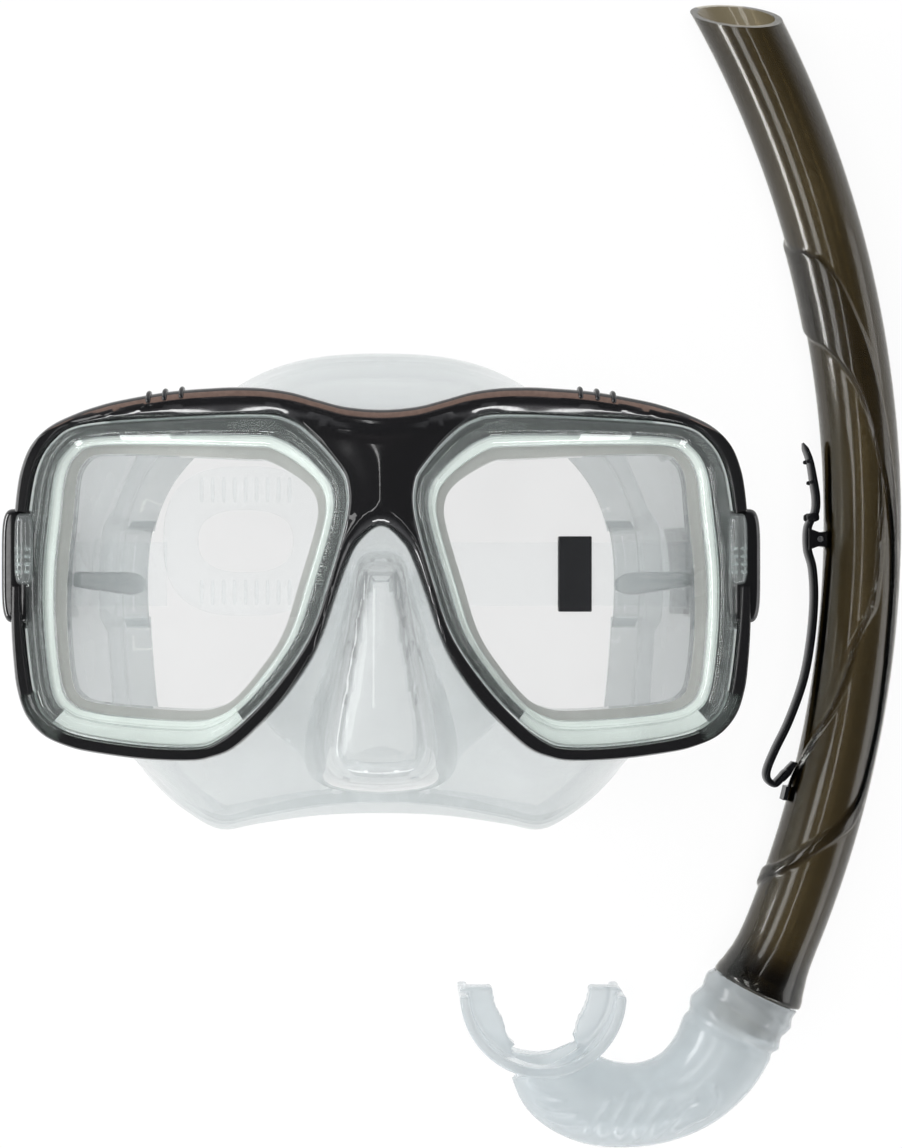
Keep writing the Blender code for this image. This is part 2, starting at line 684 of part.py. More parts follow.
def paint(obj):
    """Gives a piece its own material."""
    kind = obj.name.removesuffix("_left").removesuffix("_right")
    colour, roughness, clear = FINISHES[FINISH_OF[kind]]
    material = bpy.data.materials.new(obj.name + "_finish")
    material.use_nodes = True
    shader = material.node_tree.nodes["Principled BSDF"]
    shader.inputs["Base Color"].default_value = (*colour, 1.0)
    shader.inputs["Roughness"].default_value = roughness
    shader.inputs["Metallic"].default_value = 1.0 if kind.endswith("pin") else 0.0
    shader.inputs["Transmission Weight"].default_value = clear
    obj.data.materials.clear()
    obj.data.materials.append(material)
    obj.data.shade_smooth()
    obj.data.set_sharp_from_angle(angle=math.radians(35))


def main():
    for obj in list(bpy.data.objects):
        bpy.data.objects.remove(obj)

    pieces = [make_frame(), make_skirt(), make_strap(), make_keeper_loop()]
    pins = [rod_y("buckle_pin_right", PIN_AT, 1.1, -EAR_Y[1], EAR_Y[1], 12),
            rod_y("lever_pin_right", LEVER_AT, 0.8, -CHEEK_Y[1], CHEEK_Y[1], 12)]
    for piece in [make_rim(), make_lens(), make_latch(), make_buckle(), make_roller(),
                  make_lever()] + pins:
        pieces += [piece, flip_side(piece, piece.name.replace("_right", "_left"))]

    mask = bpy.data.objects.new("mask_centre", None)
    mask.location = Vector(SET_ORIGIN) * MM
    bpy.context.scene.collection.objects.link(mask)
    for piece in pieces:
        piece.parent = mask
        paint(piece)

    snorkel = bpy.data.objects.new("snorkel_plane", None)
    turn = Matrix.Rotation(SNORKEL_TILT, 4, "X")
    low_end = Vector((0, SNORKEL_PIVOT_Y, 0)) * MM
    lifted = Vector(SET_ORIGIN) * MM + Vector((0, 0, SNORKEL_HEIGHT * MM))
    snorkel.matrix_world = (Matrix.Translation(lifted + low_end) @ turn
                            @ Matrix.Translation(-low_end))
    bpy.context.scene.collection.objects.link(snorkel)
    for piece in make_snorkel():
        piece.parent = snorkel
        paint(piece)


main()
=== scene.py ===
"""Looks of the snorkel mask: finished surfaces, clear materials, light and camera.

Outlines are in millimetres from the mask's centre line, or in the snorkel's own plane, and each
piece is placed in the row frame when its mesh is made.
"""
from math import atan2, copysign, cos, degrees, exp, pi, radians, sin, sqrt

import bmesh
import bpy
import numpy as np
from mathutils import Matrix, Vector
from mathutils.geometry import delaunay_2d_cdt


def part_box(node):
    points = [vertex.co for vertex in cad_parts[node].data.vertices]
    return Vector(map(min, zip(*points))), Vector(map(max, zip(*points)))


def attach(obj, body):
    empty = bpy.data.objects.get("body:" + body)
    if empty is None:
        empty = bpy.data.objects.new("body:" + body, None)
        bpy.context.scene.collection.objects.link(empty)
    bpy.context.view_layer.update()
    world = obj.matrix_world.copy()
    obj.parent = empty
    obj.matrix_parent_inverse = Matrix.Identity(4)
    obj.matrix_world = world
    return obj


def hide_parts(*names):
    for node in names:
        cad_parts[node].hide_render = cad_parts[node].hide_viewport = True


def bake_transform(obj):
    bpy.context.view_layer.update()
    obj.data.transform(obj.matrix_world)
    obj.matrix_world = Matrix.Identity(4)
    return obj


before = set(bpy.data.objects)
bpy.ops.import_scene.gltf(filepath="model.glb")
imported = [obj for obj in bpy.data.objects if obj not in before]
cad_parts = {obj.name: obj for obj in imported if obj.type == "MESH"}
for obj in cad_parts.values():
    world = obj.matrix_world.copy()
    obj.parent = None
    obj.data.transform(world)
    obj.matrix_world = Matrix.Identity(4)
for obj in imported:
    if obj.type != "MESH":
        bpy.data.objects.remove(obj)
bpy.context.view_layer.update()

MM = 0.001


def middle(low, high):
    return (low + high) / 2


PANE_MIDDLE = middle(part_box("lens_left")[0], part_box("lens_right")[1])
ROLLER_MIDDLE = middle(*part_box("strap_roller_right"))
SET_ORIGIN = Vector((PANE_MIDDLE.x, ROLLER_MIDDLE.y, 0))
MASK = Matrix.Translation(SET_ORIGIN) @ Matrix.Scale(MM, 4)
SNORKEL_TURN = radians(-0.69)
SNORKEL_PIVOT = Vector((0, -112 * MM, 0))
SNORKEL_LIFT = Vector((0, 0, 13.5 * MM))
SNORKEL = (Matrix.Translation(SET_ORIGIN + SNORKEL_LIFT + SNORKEL_PIVOT)
           @ Matrix.Rotation(SNORKEL_TURN, 4, "X")
           @ Matrix.Translation(-SNORKEL_PIVOT) @ Matrix.Scale(MM, 4))

# Heights in the mask, before its front is swept back
FRAME_BACK, FRAME_FRONT = 61.0, 78.0
SHOULDER = 73.5
COLLAR_TOP = 68.6
LENS_BACK, LENS_FRONT = 69.0, 72.0
WALL = 1.8
GAP = 0.3
WEB_FRONT = FRAME_BACK - GAP
SWEEP_SLOPE, BRIDGE_HALF = 0.105, 8.0

SIDES = ((-1, "left"), (1, "right"))
LATCH_Y = 6.1

FRAME_HALF = [
    (0, 39.9), (8.4, 40.6), (15.4, 42.4), (21.7, 44.2), (28, 45.2), (34, 45.5), (40, 45.4),
    (51.4, 44.6), (63, 42.7), (69, 41.3), (75.2, 39.2), (81.1, 36.3), (85.7, 31.7), (88.2, 25.9),
    (89.4, 19.5), (90.2, 10), (90.6, 0), (90.7, -12), (90.1, -21.8), (89.2, -28.4), (87, -34.7),
    (82.6, -39.6), (76.3, -42.4), (69.8, -43.8), (57.6, -45.3), (46.4, -45.6), (41, -44.7),
    (35.4, -42.3), (28.4, -36), (22.8, -29.8), (17.1, -21.6), (13.8, -14.5), (11.2, -6.7),
    (8.2, 1.9), (5.2, 7.7), (0, 11.6),
]
RIM_OUTER = [
    (54, 38), (30, 38.7), (22, 37.2), (16.5, 33.2), (11, 27), (8.4, 22.2), (8.4, 14),
    (12.8, -2), (17.5, -15.2), (25.5, -27), (33.5, -35.6), (39.5, -40.3), (45, -42.1),
    (57, -41.9), (72, -39.9), (79.8, -37), (84.6, -31.2), (87, -16), (87.7, 0), (86.3, 15),
    (84.2, 26), (80, 32.8), (73, 36.5),
]
RIM_WINDOW = [
    (54, 31.6), (32, 31), (26.5, 30.4), (20.5, 27), (15.8, 22.8), (13.7, 18.8), (13.9, 12.5),
    (18.2, -2.5), (22.4, -15), (29.2, -25.2), (35.6, -32.2), (40.6, -35), (45.5, -35.9),
    (56.5, -35.5), (69.5, -34.2), (75.6, -32.2), (78.6, -27.5), (80.2, -14), (80.3, 0),
    (78.9, 14), (77.7, 24), (75.2, 29), (70.3, 31.4),
]
SKIRT_FRONT = [
    (0, 37), (16, 39), (33, 42.2), (56, 39.8), (72, 35.5), (79.5, 25), (81.5, 2), (81.2, -20),
    (78.5, -33), (69, -39), (57, -41.5), (46, -42), (33.5, -35.5), (23, -24), (13, -4), (0, 12.2),
]
SKIRT_REAR = [
    (0, 60.7), (20, 59.2), (36, 53.5), (52, 42), (63, 30), (69, 17), (71.3, 2), (70.8, -18),
    (69, -38), (66.4, -51.3), (60.7, -59), (53, -65.6), (44, -70.3), (33.5, -68.8), (17, -66.6),
    (0, -66),
]
NOSE_SECTIONS = [
    (8, [(0, 8), (7, 5), (12, -8), (17, -23), (20.8, -36), (21.5, -47), (19.5, -54.5),
         (13, -58), (0, -59)]),
    (40, [(0, 7), (6.5, 4.5), (10.5, -8), (14.5, -22), (18, -36), (19, -46), (17, -52.5),
          (11.5, -55.5), (0, -56.5)]),
    (60, [(0, 5.5), (5.5, 3.5), (8.8, -8), (12, -22), (15.2, -36), (16.2, -44.5),
          (14.5, -49.8), (10, -52.5), (0, -53.5)]),
    (72, [(0, 3), (5, 1.5), (7, -8), (9.5, -22), (12.2, -36), (13, -43), (11.5, -47.5),
          (8, -49.8), (0, -50.5)]),
    (75.5, [(0, 1), (4, 0), (5.6, -8), (7.8, -22), (10.3, -36), (11, -42), (9.6, -45.5),
            (6.5, -47.3), (0, -48)]),
]


# ---- curves

def smooth_run(knots, steps):
    """Smooth curve from the second knot up to the last but one."""
    return [0.5 * (2 * b + (c - a) * t + (2 * a - 5 * b + 4 * c - d) * t ** 2
                   + (3 * b - a - 3 * c + d) * t ** 3)
            for a, b, c, d in zip(knots, knots[1:], knots[2:], knots[3:])
            for t in (step / steps for step in range(steps))]


def smooth_loop(points, steps):
    """Closed smooth curve through the points, with the given steps between neighbours."""
    knots = [Vector(p) for p in points]
    return smooth_run(knots[-1:] + knots + knots[:2], steps)


def smooth_path(points, steps):
    """Open smooth curve through the points."""
    knots = [Vector(p) for p in points]
    before, after = 2 * knots[0] - knots[1], 2 * knots[-1] - knots[-2]
    return smooth_run([before] + knots + [after], steps) + [knots[-1].copy()]


def mirrored(half):
    """Whole outline from its right half, whose first and last points are on the centre line."""
    return half + [(-x, y) for x, y in reversed(half[1:-1])]


def resample(loop, spacing):
    """Closed loop with even spacing."""
    pts = np.array([tuple(p) for p in loop])
    ring = np.vstack([pts, pts[:1]])
    run = np.concatenate([[0], np.cumsum(np.linalg.norm(np.diff(ring, axis=0), axis=1))])
    count = max(8, int(round(run[-1] / spacing)))
    at = np.linspace(0, run[-1], count, endpoint=False)
    return [Vector((np.interp(a, run, ring[:, 0]), np.interp(a, run, ring[:, 1]))) for a in at]


def offset(loop, distance):
    """The loop moved outward by a distance, or inward by a negative one."""
    area = sum(a.x * b.y - b.x * a.y for a, b in zip(loop, loop[1:] + loop[:1]))
    side = copysign(1.0, area)
    moved = []
    for before, point, after in zip(loop[-1:] + loop[:-1], loop, loop[1:] + loop[:1]):
        along = (after - before).normalized()
        moved.append(point + side * distance * Vector((along.y, -along.x)))
    return moved


def between(first, second, share):
    return [a.lerp(b, share) for a, b in zip(first, second)]


def at_height(loop, z):
    return [(p[0], p[1], z) for p in loop]


def arc(centre, radius, start, end, count):
    """Points on an arc, angles in degrees."""
    angles = [radians(start + (end - start) * i / (count - 1)) for i in range(count)]
    return [(centre[0] + radius * cos(a), centre[1] + radius * sin(a)) for a in angles]


def turns(count):
    """Even angles once round, in radians."""
    return [2 * pi * i / count for i in range(count)]


def superellipse(half, powers, count):
    """Ellipse round the origin, with squarer corners for powers under 1."""
    return [tuple(size * copysign(abs(value) ** power, value)
                  for size, value, power in zip(half, (cos(a), sin(a)), powers))
            for a in turns(count)]


def heading(path, i):
    """Unit direction of a path at one of its points."""
    ahead, behind = path[min(i + 1, len(path) - 1)], path[max(i - 1, 0)]
    return (Vector(ahead) - Vector(behind)).normalized()


def dome(share, least=0.05):
    """Height of a unit circle over a point off its middle, but not under the least."""
    return sqrt(max(1 - share ** 2, least))


def distance_to(points, loop):
    """Distance of each point to a closed loop."""
    a = np.array([tuple(p) for p in loop])
    best = np.full(len(points), 1e9)
    for start, edge in zip(a, np.roll(a, -1, axis=0) - a):
        t = np.clip(((points - start) @ edge) / max((edge ** 2).sum(), 1e-9), 0, 1)
        near = start + t[:, None] * edge
        best = np.minimum(best, np.linalg.norm(points - near, axis=1))
    return best


def inside(points, loop):
    """Which points lie inside a closed loop."""
    a = np.array([tuple(p) for p in loop])
    b = np.roll(a, -1, axis=0)
    hit = np.zeros(len(points), bool)
    for (x0, y0), (x1, y1) in zip(a, b):
        spans = (y0 > points[:, 1]) != (y1 > points[:, 1])
        if y1 != y0:
            cross = (x1 - x0) * (points[:, 1] - y0) / (y1 - y0) + x0
            hit ^= spans & (points[:, 0] < cross)
    return hit


def ease(value, low, high):
    """Smooth step from 0 at low to 1 at high."""
    t = np.clip((value - low) / (high - low), 0, 1)
    return t * t * (3 - 2 * t)


# ---- meshes

def sweep_of(x):
    """How far the swept frame lies below its bridge at a distance from the centre line."""
    if abs(x) < BRIDGE_HALF:
        return SWEEP_SLOPE * x * x / (2 * BRIDGE_HALF)
    return SWEEP_SLOPE * (abs(x) - BRIDGE_HALF / 2)


def swept(co):
    """A point of the mask after its front is swept back towards the temples."""
    share = min(max(co[2] / FRAME_BACK, 0.0), 1.0)
    return (co[0], co[1], co[2] - share * sweep_of(co[0]))


def skin(rings, ring_closed=False, capped=True):
    """Vertices and faces of a skin through rings of points."""
    n, m = len(rings[0]), len(rings)
    verts = [tuple(p) for ring in rings for p in ring]
    faces = []
    for i in range(m if ring_closed else m - 1):
        k = (i + 1) % m
        for j in range(n):
            faces.append((i * n + j, i * n + (j + 1) % n, k * n + (j + 1) % n, k * n + j))
    if capped and not ring_closed:
        faces += [tuple(range(n))[::-1], tuple((m - 1) * n + j for j in range(n))]
    return verts, faces


def merged(*shapes):
    """Several shapes as one list of vertices and faces."""
    verts, faces = [], []
    for some, cells in shapes:
        start = len(verts)
        verts += list(some)
        faces += [tuple(i + start for i in cell) for cell in cells]
    return verts, faces


def flipped(shape):
    """Mirror image of a shape across the mask's centre line."""
    verts, faces = shape
    return [(-x, y, z) for x, y, z in verts], [tuple(reversed(f)) for f in faces]


def sided(shape, side):
    """The shape on the right for a side of 1, or its mirror image for -1."""
    return shape if side > 0 else flipped(shape)


def stacked(layers, ring_closed=False):
    """Skin through outlines, each with its height."""
    return skin([at_height(loop, z) for loop, z in layers], ring_closed)


def prism(loop, low, high):
    return stacked([(loop, low), (loop, high)])


def slab(loop, steps):
    """Plate of an outline, from the height and offset of each ring."""
    return stacked([(offset(loop, distance), z) for z, distance in steps])


def rounded_block(centre, half, low, high):
    """Block with a superellipse outline and rounded edges."""
    rings = []
    for z, inset in ((low, 0.9), (low + 0.35, 0.35), (low + 1.0, 0.0), (high - 1.6, 0.0),
                     (high - 0.8, 0.25), (high - 0.3, 0.7), (high, 1.5)):
        outline = superellipse((half[0] - inset, half[1] - inset), (0.45, 0.45), 48)
        rings.append([(centre[0] + u, centre[1] + v, z) for u, v in outline])
    return skin(rings)


def bead(path, radius, sides=10):
    """Round bar along a path of 3-D points, with rounded ends."""
    rings = []
    for i, p in enumerate(path):
        ahead = heading(path, i)
        side = ahead.cross(Vector((1, 0, 0.01))).normalized()
        up = ahead.cross(side).normalized()
        r = radius * dome(1 - min(1.0, (0.25 + min(i, len(path) - 1 - i)) / 2.2))
        rings.append([tuple(Vector(p) + side * (r * cos(t)) + up * (r * sin(t)))
                      for t in turns(sides)])
    return skin(rings)


def linked(name, data):
    obj = bpy.data.objects.new(name, data)
    bpy.context.scene.collection.objects.link(obj)
    return obj


def raw_object(name, shape):
    """Object in millimetres, not yet placed."""
    bm = bmesh.new()
    verts = [bm.verts.new(p) for p in shape[0]]
    for cell in shape[1]:
        bm.faces.new([verts[i] for i in cell])
    bmesh.ops.recalc_face_normals(bm, faces=bm.faces[:])
    mesh = bpy.data.meshes.new(name)
    bm.to_mesh(mesh)
    bm.free()
    return linked(name, mesh)


def modify(obj, name, kind, **settings):
    modifier = obj.modifiers.new(name, kind)
    for key, value in settings.items():
        setattr(modifier, key, value)


def applied(obj):
    """Makes the object's modifiers part of its mesh."""
    graph = bpy.context.evaluated_depsgraph_get()
    mesh = bpy.data.meshes.new_from_object(obj.evaluated_get(graph))
    obj.modifiers.clear()
    obj.data = mesh
    return obj


def combine(target, tool, operation):
    """Boolean of an object with a shape or another object, which is used up."""
    if not isinstance(tool, bpy.types.Object):
        tool = raw_object("tool", tool)
    modify(target, "combine", "BOOLEAN", operation=operation, solver="EXACT", object=tool)
    applied(target)
    bpy.data.objects.remove(tool)
    return target


def bevel(obj, width, angle):
    modify(obj, "edges", "BEVEL", width=width, segments=2, limit_method="ANGLE",
           angle_limit=radians(angle))


def place(obj, material, body, slot, place_at=MASK, sweep=False, angle=40, replaces=()):
    """Moves a raw object to its place and hands it to its body."""
    mesh = obj.data
    if sweep:
        for vert in mesh.vertices:
            vert.co = swept(vert.co)
    mesh.transform(place_at)
    mesh.materials.clear()
    mesh.materials.append(material)
    mesh.shade_smooth()
    mesh.set_sharp_from_angle(angle=radians(angle))
    if body:
        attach(obj, body)
    if replaces:
        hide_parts(*replaces)
    return obj


def piece(name, shape, *look, **options):
    """Finished object of a shape."""
    return place(raw_object(name, shape), *look, **options)


# ---- materials

class Paint:
    """The node tree of a material or world, with short calls for its nodes."""

    def __init__(self, owner, output="OutputMaterial"):
        self.owner = owner
        owner.use_nodes = True
        self.tree = owner.node_tree
        self.tree.nodes.clear()
        self.output = self.add(output)

    def add(self, kind, settings=None, **inputs):
        made = self.tree.nodes.new("ShaderNode" + kind)
        for key, value in (settings or {}).items():
            setattr(made, key, value)
        for key, value in inputs.items():
            socket = made.inputs[int(key[1:]) if key[1:].isdigit() else key.replace("_", " ")]
            if isinstance(value, bpy.types.NodeSocket):
                self.tree.links.new(value, socket)
            else:
                socket.default_value = value
        return made

    def coordinates(self):
        return self.add("TexCoord").outputs["Object"]

    def noise(self, scale, detail=2.0, vector=None):
        made = self.add("TexNoise", Scale=scale, Detail=detail,
                        Vector=vector or self.coordinates())
        return made.outputs["Fac"]

    def spread(self, value, low, high, start=0.3, end=0.7):
        """The value's range from start to end mapped to low and high."""
        made = self.add("MapRange", Value=value, From_Min=start, From_Max=end, To_Min=low,
                        To_Max=high)
        return made.outputs["Result"]

    def patchy(self, scale, detail, low, high):
        """Noise mapped to low and high."""
        return self.spread(self.noise(scale, detail), low, high)

    def bump(self, height, strength, distance):
        made = self.add("Bump", Strength=strength, Distance=distance, Height=height)
        return made.outputs["Normal"]

    def mix(self, share, first, second):
        made = self.add("MixShader", Fac=share)
        self.tree.links.new(first.outputs[0], made.inputs[1])
        self.tree.links.new(second.outputs[0], made.inputs[2])
        return made

    def gloss(self, ior, normal=None):
        """Share of light that a clear skin mirrors, alike from inside and outside."""
        given = {"Normal": normal} if normal else {}
        facing = self.add("LayerWeight", Blend=0.5, **given).outputs["Facing"]
        steep = self.add("Math", {"operation": "POWER"}, _0=facing, _1=5.0).outputs[0]
        return self.spread(steep, ((ior - 1) / (ior + 1)) ** 2, 1.0, 0.0, 1.0)

    def grey_tone(self, tone):
        return self.add("CombineColor", Red=tone, Green=tone, Blue=tone).outputs[0]

    def shadowed(self, shader, tint):
        """The shader for all rays but shadow rays, which pass with a tint."""
        shade = self.add("BsdfTransparent", Color=(*tint, 1))
        return self.mix(self.add("LightPath").outputs["Is Shadow Ray"], shader, shade)

    def done(self, shader, volume=None):
        self.tree.links.new(shader.outputs[0], self.output.inputs["Surface"])
        if volume:
            self.tree.links.new(volume.outputs[0], self.output.inputs["Volume"])
        return self.owner


def material(name):
    return Paint(bpy.data.materials.new(name))


def grey(level):
    return (level, level, level, 1.0)


def moulding(name, colour, wear, grain, depth, coat=None, **settings):
    """Opaque plastic. Wear gives its roughness, and grain and depth its relief."""
    p = material(name)
    if coat:
        settings.update(Coat_Weight=p.patchy(*coat), Coat_Roughness=0.04)
    return p.done(p.add("BsdfPrincipled", Base_Color=(*colour, 1), Roughness=p.patchy(*wear),
                        Normal=p.bump(p.noise(*grain), *depth), **settings))


def steel():
    p = material("steel_wire")
    stretched = p.add("Mapping", Vector=p.coordinates(), Scale=(900, 40, 900)).outputs[0]
    lines = p.noise(2.0, 2, stretched)
    return p.done(p.add("BsdfPrincipled", Base_Color=(0.55, 0.55, 0.56, 1), Metallic=1.0,
                        Roughness=p.spread(lines, 0.18, 0.4),
                        Normal=p.bump(lines, 0.1, 0.00005)))


def clear_solid(name, tint, ior, roughness, haze, haze_colour, straight, bump_scale=50,
                bump_depth=0.0002, passes=0.5):
    """Refracting clear plastic or silicone with a share of haze in it. Shadows pass through."""
    p = material(name)
    rough = p.patchy(45, 4, roughness * 0.6, roughness * 1.5)
    normal = p.bump(p.noise(bump_scale, 2), 0.25, bump_depth)
    bent = p.add("BsdfGlass", Color=(*tint, 1), Roughness=rough, IOR=ior, Normal=normal)
    through = p.add("BsdfTransparent", Color=(*tint, 1))
    mirror = p.add("BsdfGlossy", Color=grey(1.0), Roughness=rough, Normal=normal)
    gloss = p.gloss(ior, normal)
    body = p.mix(straight, bent, p.mix(gloss, through, mirror))
    diffuse = p.add("BsdfDiffuse", Color=(*haze_colour, 1), Normal=normal)
    passing = p.add("BsdfTranslucent", Color=(*haze_colour, 1), Normal=normal)
    milk = p.mix(gloss, p.mix(passes, diffuse, passing), mirror)
    cloud = p.patchy(30, 3, haze * 0.75, haze * 1.25)
    solid = p.mix(cloud, body, milk)
    return p.done(p.shadowed(solid, [c * (1 - haze * 0.5) for c in tint]))


def lens_glass():
    p = material("tempered_pane")
    smear = p.noise(25, 5)
    mirror = p.add("BsdfGlossy", Color=grey(1.0), Roughness=p.spread(smear, 0.0, 0.03))
    through = p.add("BsdfTransparent", Color=p.grey_tone(p.spread(smear, 0.93, 0.955)))
    return p.done(p.mix(p.gloss(1.52), through, mirror))


def smoke_tube():
    p = material("smoked_plastic")
    streak = p.add("Mapping", Vector=p.coordinates(), Scale=(160, 14, 160)).outputs[0]
    flow = p.noise(1.0, 3, streak)
    normal = p.bump(flow, 0.04, 0.0003)
    bent = p.add("BsdfRefraction", Color=(0.96, 0.95, 0.92, 1), IOR=1.49,
                 Roughness=p.patchy(70, 3, 0.06, 0.12), Normal=normal)
    sheen = p.add("BsdfGlossy", Color=(1.0, 0.98, 0.92, 1), Normal=normal,
                  Roughness=p.patchy(40, 3, 0.16, 0.24))
    sharp = p.add("BsdfGlossy", Color=grey(1.0), Normal=normal,
                  Roughness=p.patchy(55, 2, 0.02, 0.05))
    mirror = p.mix(0.65, sharp, sheen)
    fresnel = p.add("Fresnel", IOR=1.6, Normal=normal)
    glass = p.mix(fresnel.outputs[0], bent, mirror)
    dense = p.add("VolumeAbsorption", Color=(0.34, 0.28, 0.12, 1),
                  Density=p.patchy(22, 2, 1180, 1450))
    return p.done(p.shadowed(glass, (0.5, 0.47, 0.4)), dense)


BLACK = moulding("black_gloss_moulding", (0.006, 0.006, 0.0065), (60, 4, 0.07, 0.15), (35, 1),
                 (0.12, 0.0006), (900, 2, 0.25, 0.6), IOR=1.5)
SATIN = moulding("black_satin_moulding", (0.012, 0.012, 0.014), (90, 3, 0.3, 0.45), (2600, 3),
                 (0.25, 0.0001))
# The clip mirrors little at a glancing angle
CLIP_BLACK = moulding("clip_moulding", (0.006, 0.006, 0.007), (60, 3, 0.16, 0.26), (500, 3),
                      (0.1, 0.0001), IOR=1.2)
STEEL = steel()
RIM_CLEAR = clear_solid("clear_polycarbonate", (0.955, 0.98, 0.97), 1.5, 0.01, 0.05,
                        (0.7, 0.76, 0.75), 0.7, 40, 0.0)
SILICONE = clear_solid("clear_silicone", (0.875, 0.89, 0.89), 1.4, 0.05, 0.2,
                       (0.7, 0.72, 0.725), 0.35, 40, 0.0001)
STRAP_CLEAR = clear_solid("strap_silicone", (0.985, 0.99, 0.99), 1.14, 0.15, 0.04,
                          (0.84, 0.88, 0.9), 0.85, 120, 0.0001)
MILKY = clear_solid("milky_silicone", (0.92, 0.935, 0.94), 1.35, 0.15, 0.45,
                    (0.62, 0.655, 0.67), 0.35, 60, 0.0002)
GASKET = clear_solid("gasket_silicone", (0.98, 0.985, 0.97), 1.35, 0.2, 0.8,
                     (0.97, 0.98, 0.95), 0.6, 60, 0.0001, 0.6)
# Near-white diffuse silicone laid under the clear bezel: painted highlight that stands in for the
# bezel's own bright glints
PAINTED_GLINT_SILICONE = clear_solid("painted_glint_white", (0.98, 0.98, 0.97), 1.4, 0.1, 0.9,
                          (0.99, 0.99, 0.98), 0.5, 60, 0.0)
TAB_CLEAR = clear_solid("latch_polycarbonate", (0.95, 0.98, 0.97), 1.5, 0.02, 0.16,
                        (0.8, 0.86, 0.85), 0.7, 60, 0.0)
PANE = lens_glass()
SMOKE = smoke_tube()


# ---- the frame

rim_outer = smooth_loop(RIM_OUTER, 8)
rim_window = smooth_loop(RIM_WINDOW, 8)

# The sculpted lip along the frame's top edge: distances in from the edge and heights there
LIP_DEPTHS = (.08, .22, .42, .7, .95, 1.3, 1.9, 2.5, 2.9, 3.6)
LIP_HEIGHTS = (74.5, 75.3, 75.95, 76.35, 76.6, 76.84, 77.22, 77.58, 77.78, FRAME_FRONT)
FACE_GRID = (1.1, 0.95)
LUG_AT = (87.5, 47.5)


def frame_height(points, to_outer, to_hole):
    """Front height of the frame before its sweep, from the distances to its edges."""
    x, y = points[:, 0], points[:, 1]
    across = np.abs(x)
    top = ease(y, 26, 34) * (1 - ease(across, 74, 84))
    arch = (1 - ease(y, 18, 30)) * np.exp(-(across / 9.0) ** 2)
    width = 0.8 + 1.9 * top + 6.5 * arch
    t = np.clip(to_outer / width, 0, 1)
    round_edge = SHOULDER + (FRAME_FRONT - SHOULDER) * np.sqrt(np.clip(1 - (1 - t) ** 2, 0, 1))
    facet = np.interp(to_outer, (0, *LIP_DEPTHS), (SHOULDER, *LIP_HEIGHTS))
    z = round_edge + (facet - round_edge) * top
    behind = np.clip(to_outer - 2.9, 0, 30)
    bridge = 1 - ease(across, 10, 24)
    z -= top * (1 - bridge) * 1.5 * ease(behind, 0, 3.2)
    groove = np.exp(-((behind - 3.2) / 1.8) ** 2)
    z -= 1.15 * groove * bridge * top
    z -= 1.1 * (1 - ease(to_hole, 0, 9.5)) * bridge * ease(to_outer, 2.5, 6)
    reach = 0.5 + 1.5 * top * (1 - bridge)
    lip = np.clip(to_hole / reach, 0, 1)
    z -= (0.45 + 0.75 * top * (1 - bridge)) * (1 - np.sqrt(np.clip(1 - (1 - lip) ** 2, 0, 1)))
    return np.maximum(z, SHOULDER)


def on_face(points, outer, holes):
    """Which points lie inside the outline and outside the holes."""
    good = inside(points, outer)
    for hole in holes:
        good &= ~inside(points, hole)
    return good


def edge_distances(points, outer, holes):
    return distance_to(points, outer), np.minimum(*[distance_to(points, h) for h in holes])


def frame_points(outer, holes):
    """Mesh points over the frame's face: rings along each edge, then an even grid."""
    table = [(*p, depth) for depth in (*LIP_DEPTHS, 4.3, 5.2) for p in offset(outer, -depth)]
    table += [(*p, -depth) for depth in (.12, .3, .55, 1.0, 1.7, 2.6) for hole in holes
              for p in offset(hole, depth)]
    table += [(x + (FACE_GRID[0] / 2 if j % 2 else 0), y, 0.0)
              for j, y in enumerate(np.arange(-46, 47, FACE_GRID[1]))
              for x in np.arange(-92, 92, FACE_GRID[0])]
    table = np.array(table)
    table = table[on_face(table[:, :2], outer, holes)]
    spots, depth = table[:, :2], table[:, 2]
    to_outer, to_hole = edge_distances(spots, outer, holes)
    ring = ((depth > 0) & (to_outer > 0.93 * depth) & (to_outer <= to_hole + 0.2)
            & (to_hole > 0.25))
    lip = ((depth < 0) & (to_hole > -0.93 * depth) & (to_hole < to_outer - 0.25)
           & (to_outer > 0.3))
    field = (depth == 0) & (to_outer > 5.7) & (to_hole > 3.1)
    return [Vector(spot) for spot in spots[ring | lip | field]]


def frame_face():
    """Closed shell of the frame with its sculpted front."""
    outer = resample(smooth_loop(mirrored(FRAME_HALF), 10), 0.9)
    right = resample(offset(rim_outer, GAP), 0.9)
    left = [Vector((-p.x, p.y)) for p in reversed(right)]
    holes = [right, left]
    flat, edges = [], []
    for loop in (outer, right, left):
        start, n = len(flat), len(loop)
        edges += [(start + i, start + (i + 1) % n) for i in range(n)]
        flat += loop
    flat += frame_points(outer, holes)
    verts, _, faces, _, _, _ = delaunay_2d_cdt(flat, edges, [], 0, 1e-5)
    spots = np.array([tuple(v) for v in verts])
    cells = np.array([tuple(f) for f in faces])
    cells = cells[on_face(spots[cells].mean(1), outer, holes)]
    to_outer, to_hole = edge_distances(spots, outer, holes)
    high = frame_height(spots, to_outer, to_hole)
    low = FRAME_BACK + 1.2 * (1 - np.clip(to_outer / 1.2, 0, 1))
    n = len(spots)
    shell = [(*s, h) for heights in (high, low) for s, h in zip(spots, heights)]
    skins = [tuple(c) for c in cells] + [tuple(i + n for i in c[::-1]) for c in cells]
    seen = dict.fromkeys(edge for a, b, c in cells for edge in ((a, b), (b, c), (c, a)))
    skins += [(b, a, a + n, b + n) for a, b in seen if (b, a) not in seen]
    return shell, skins


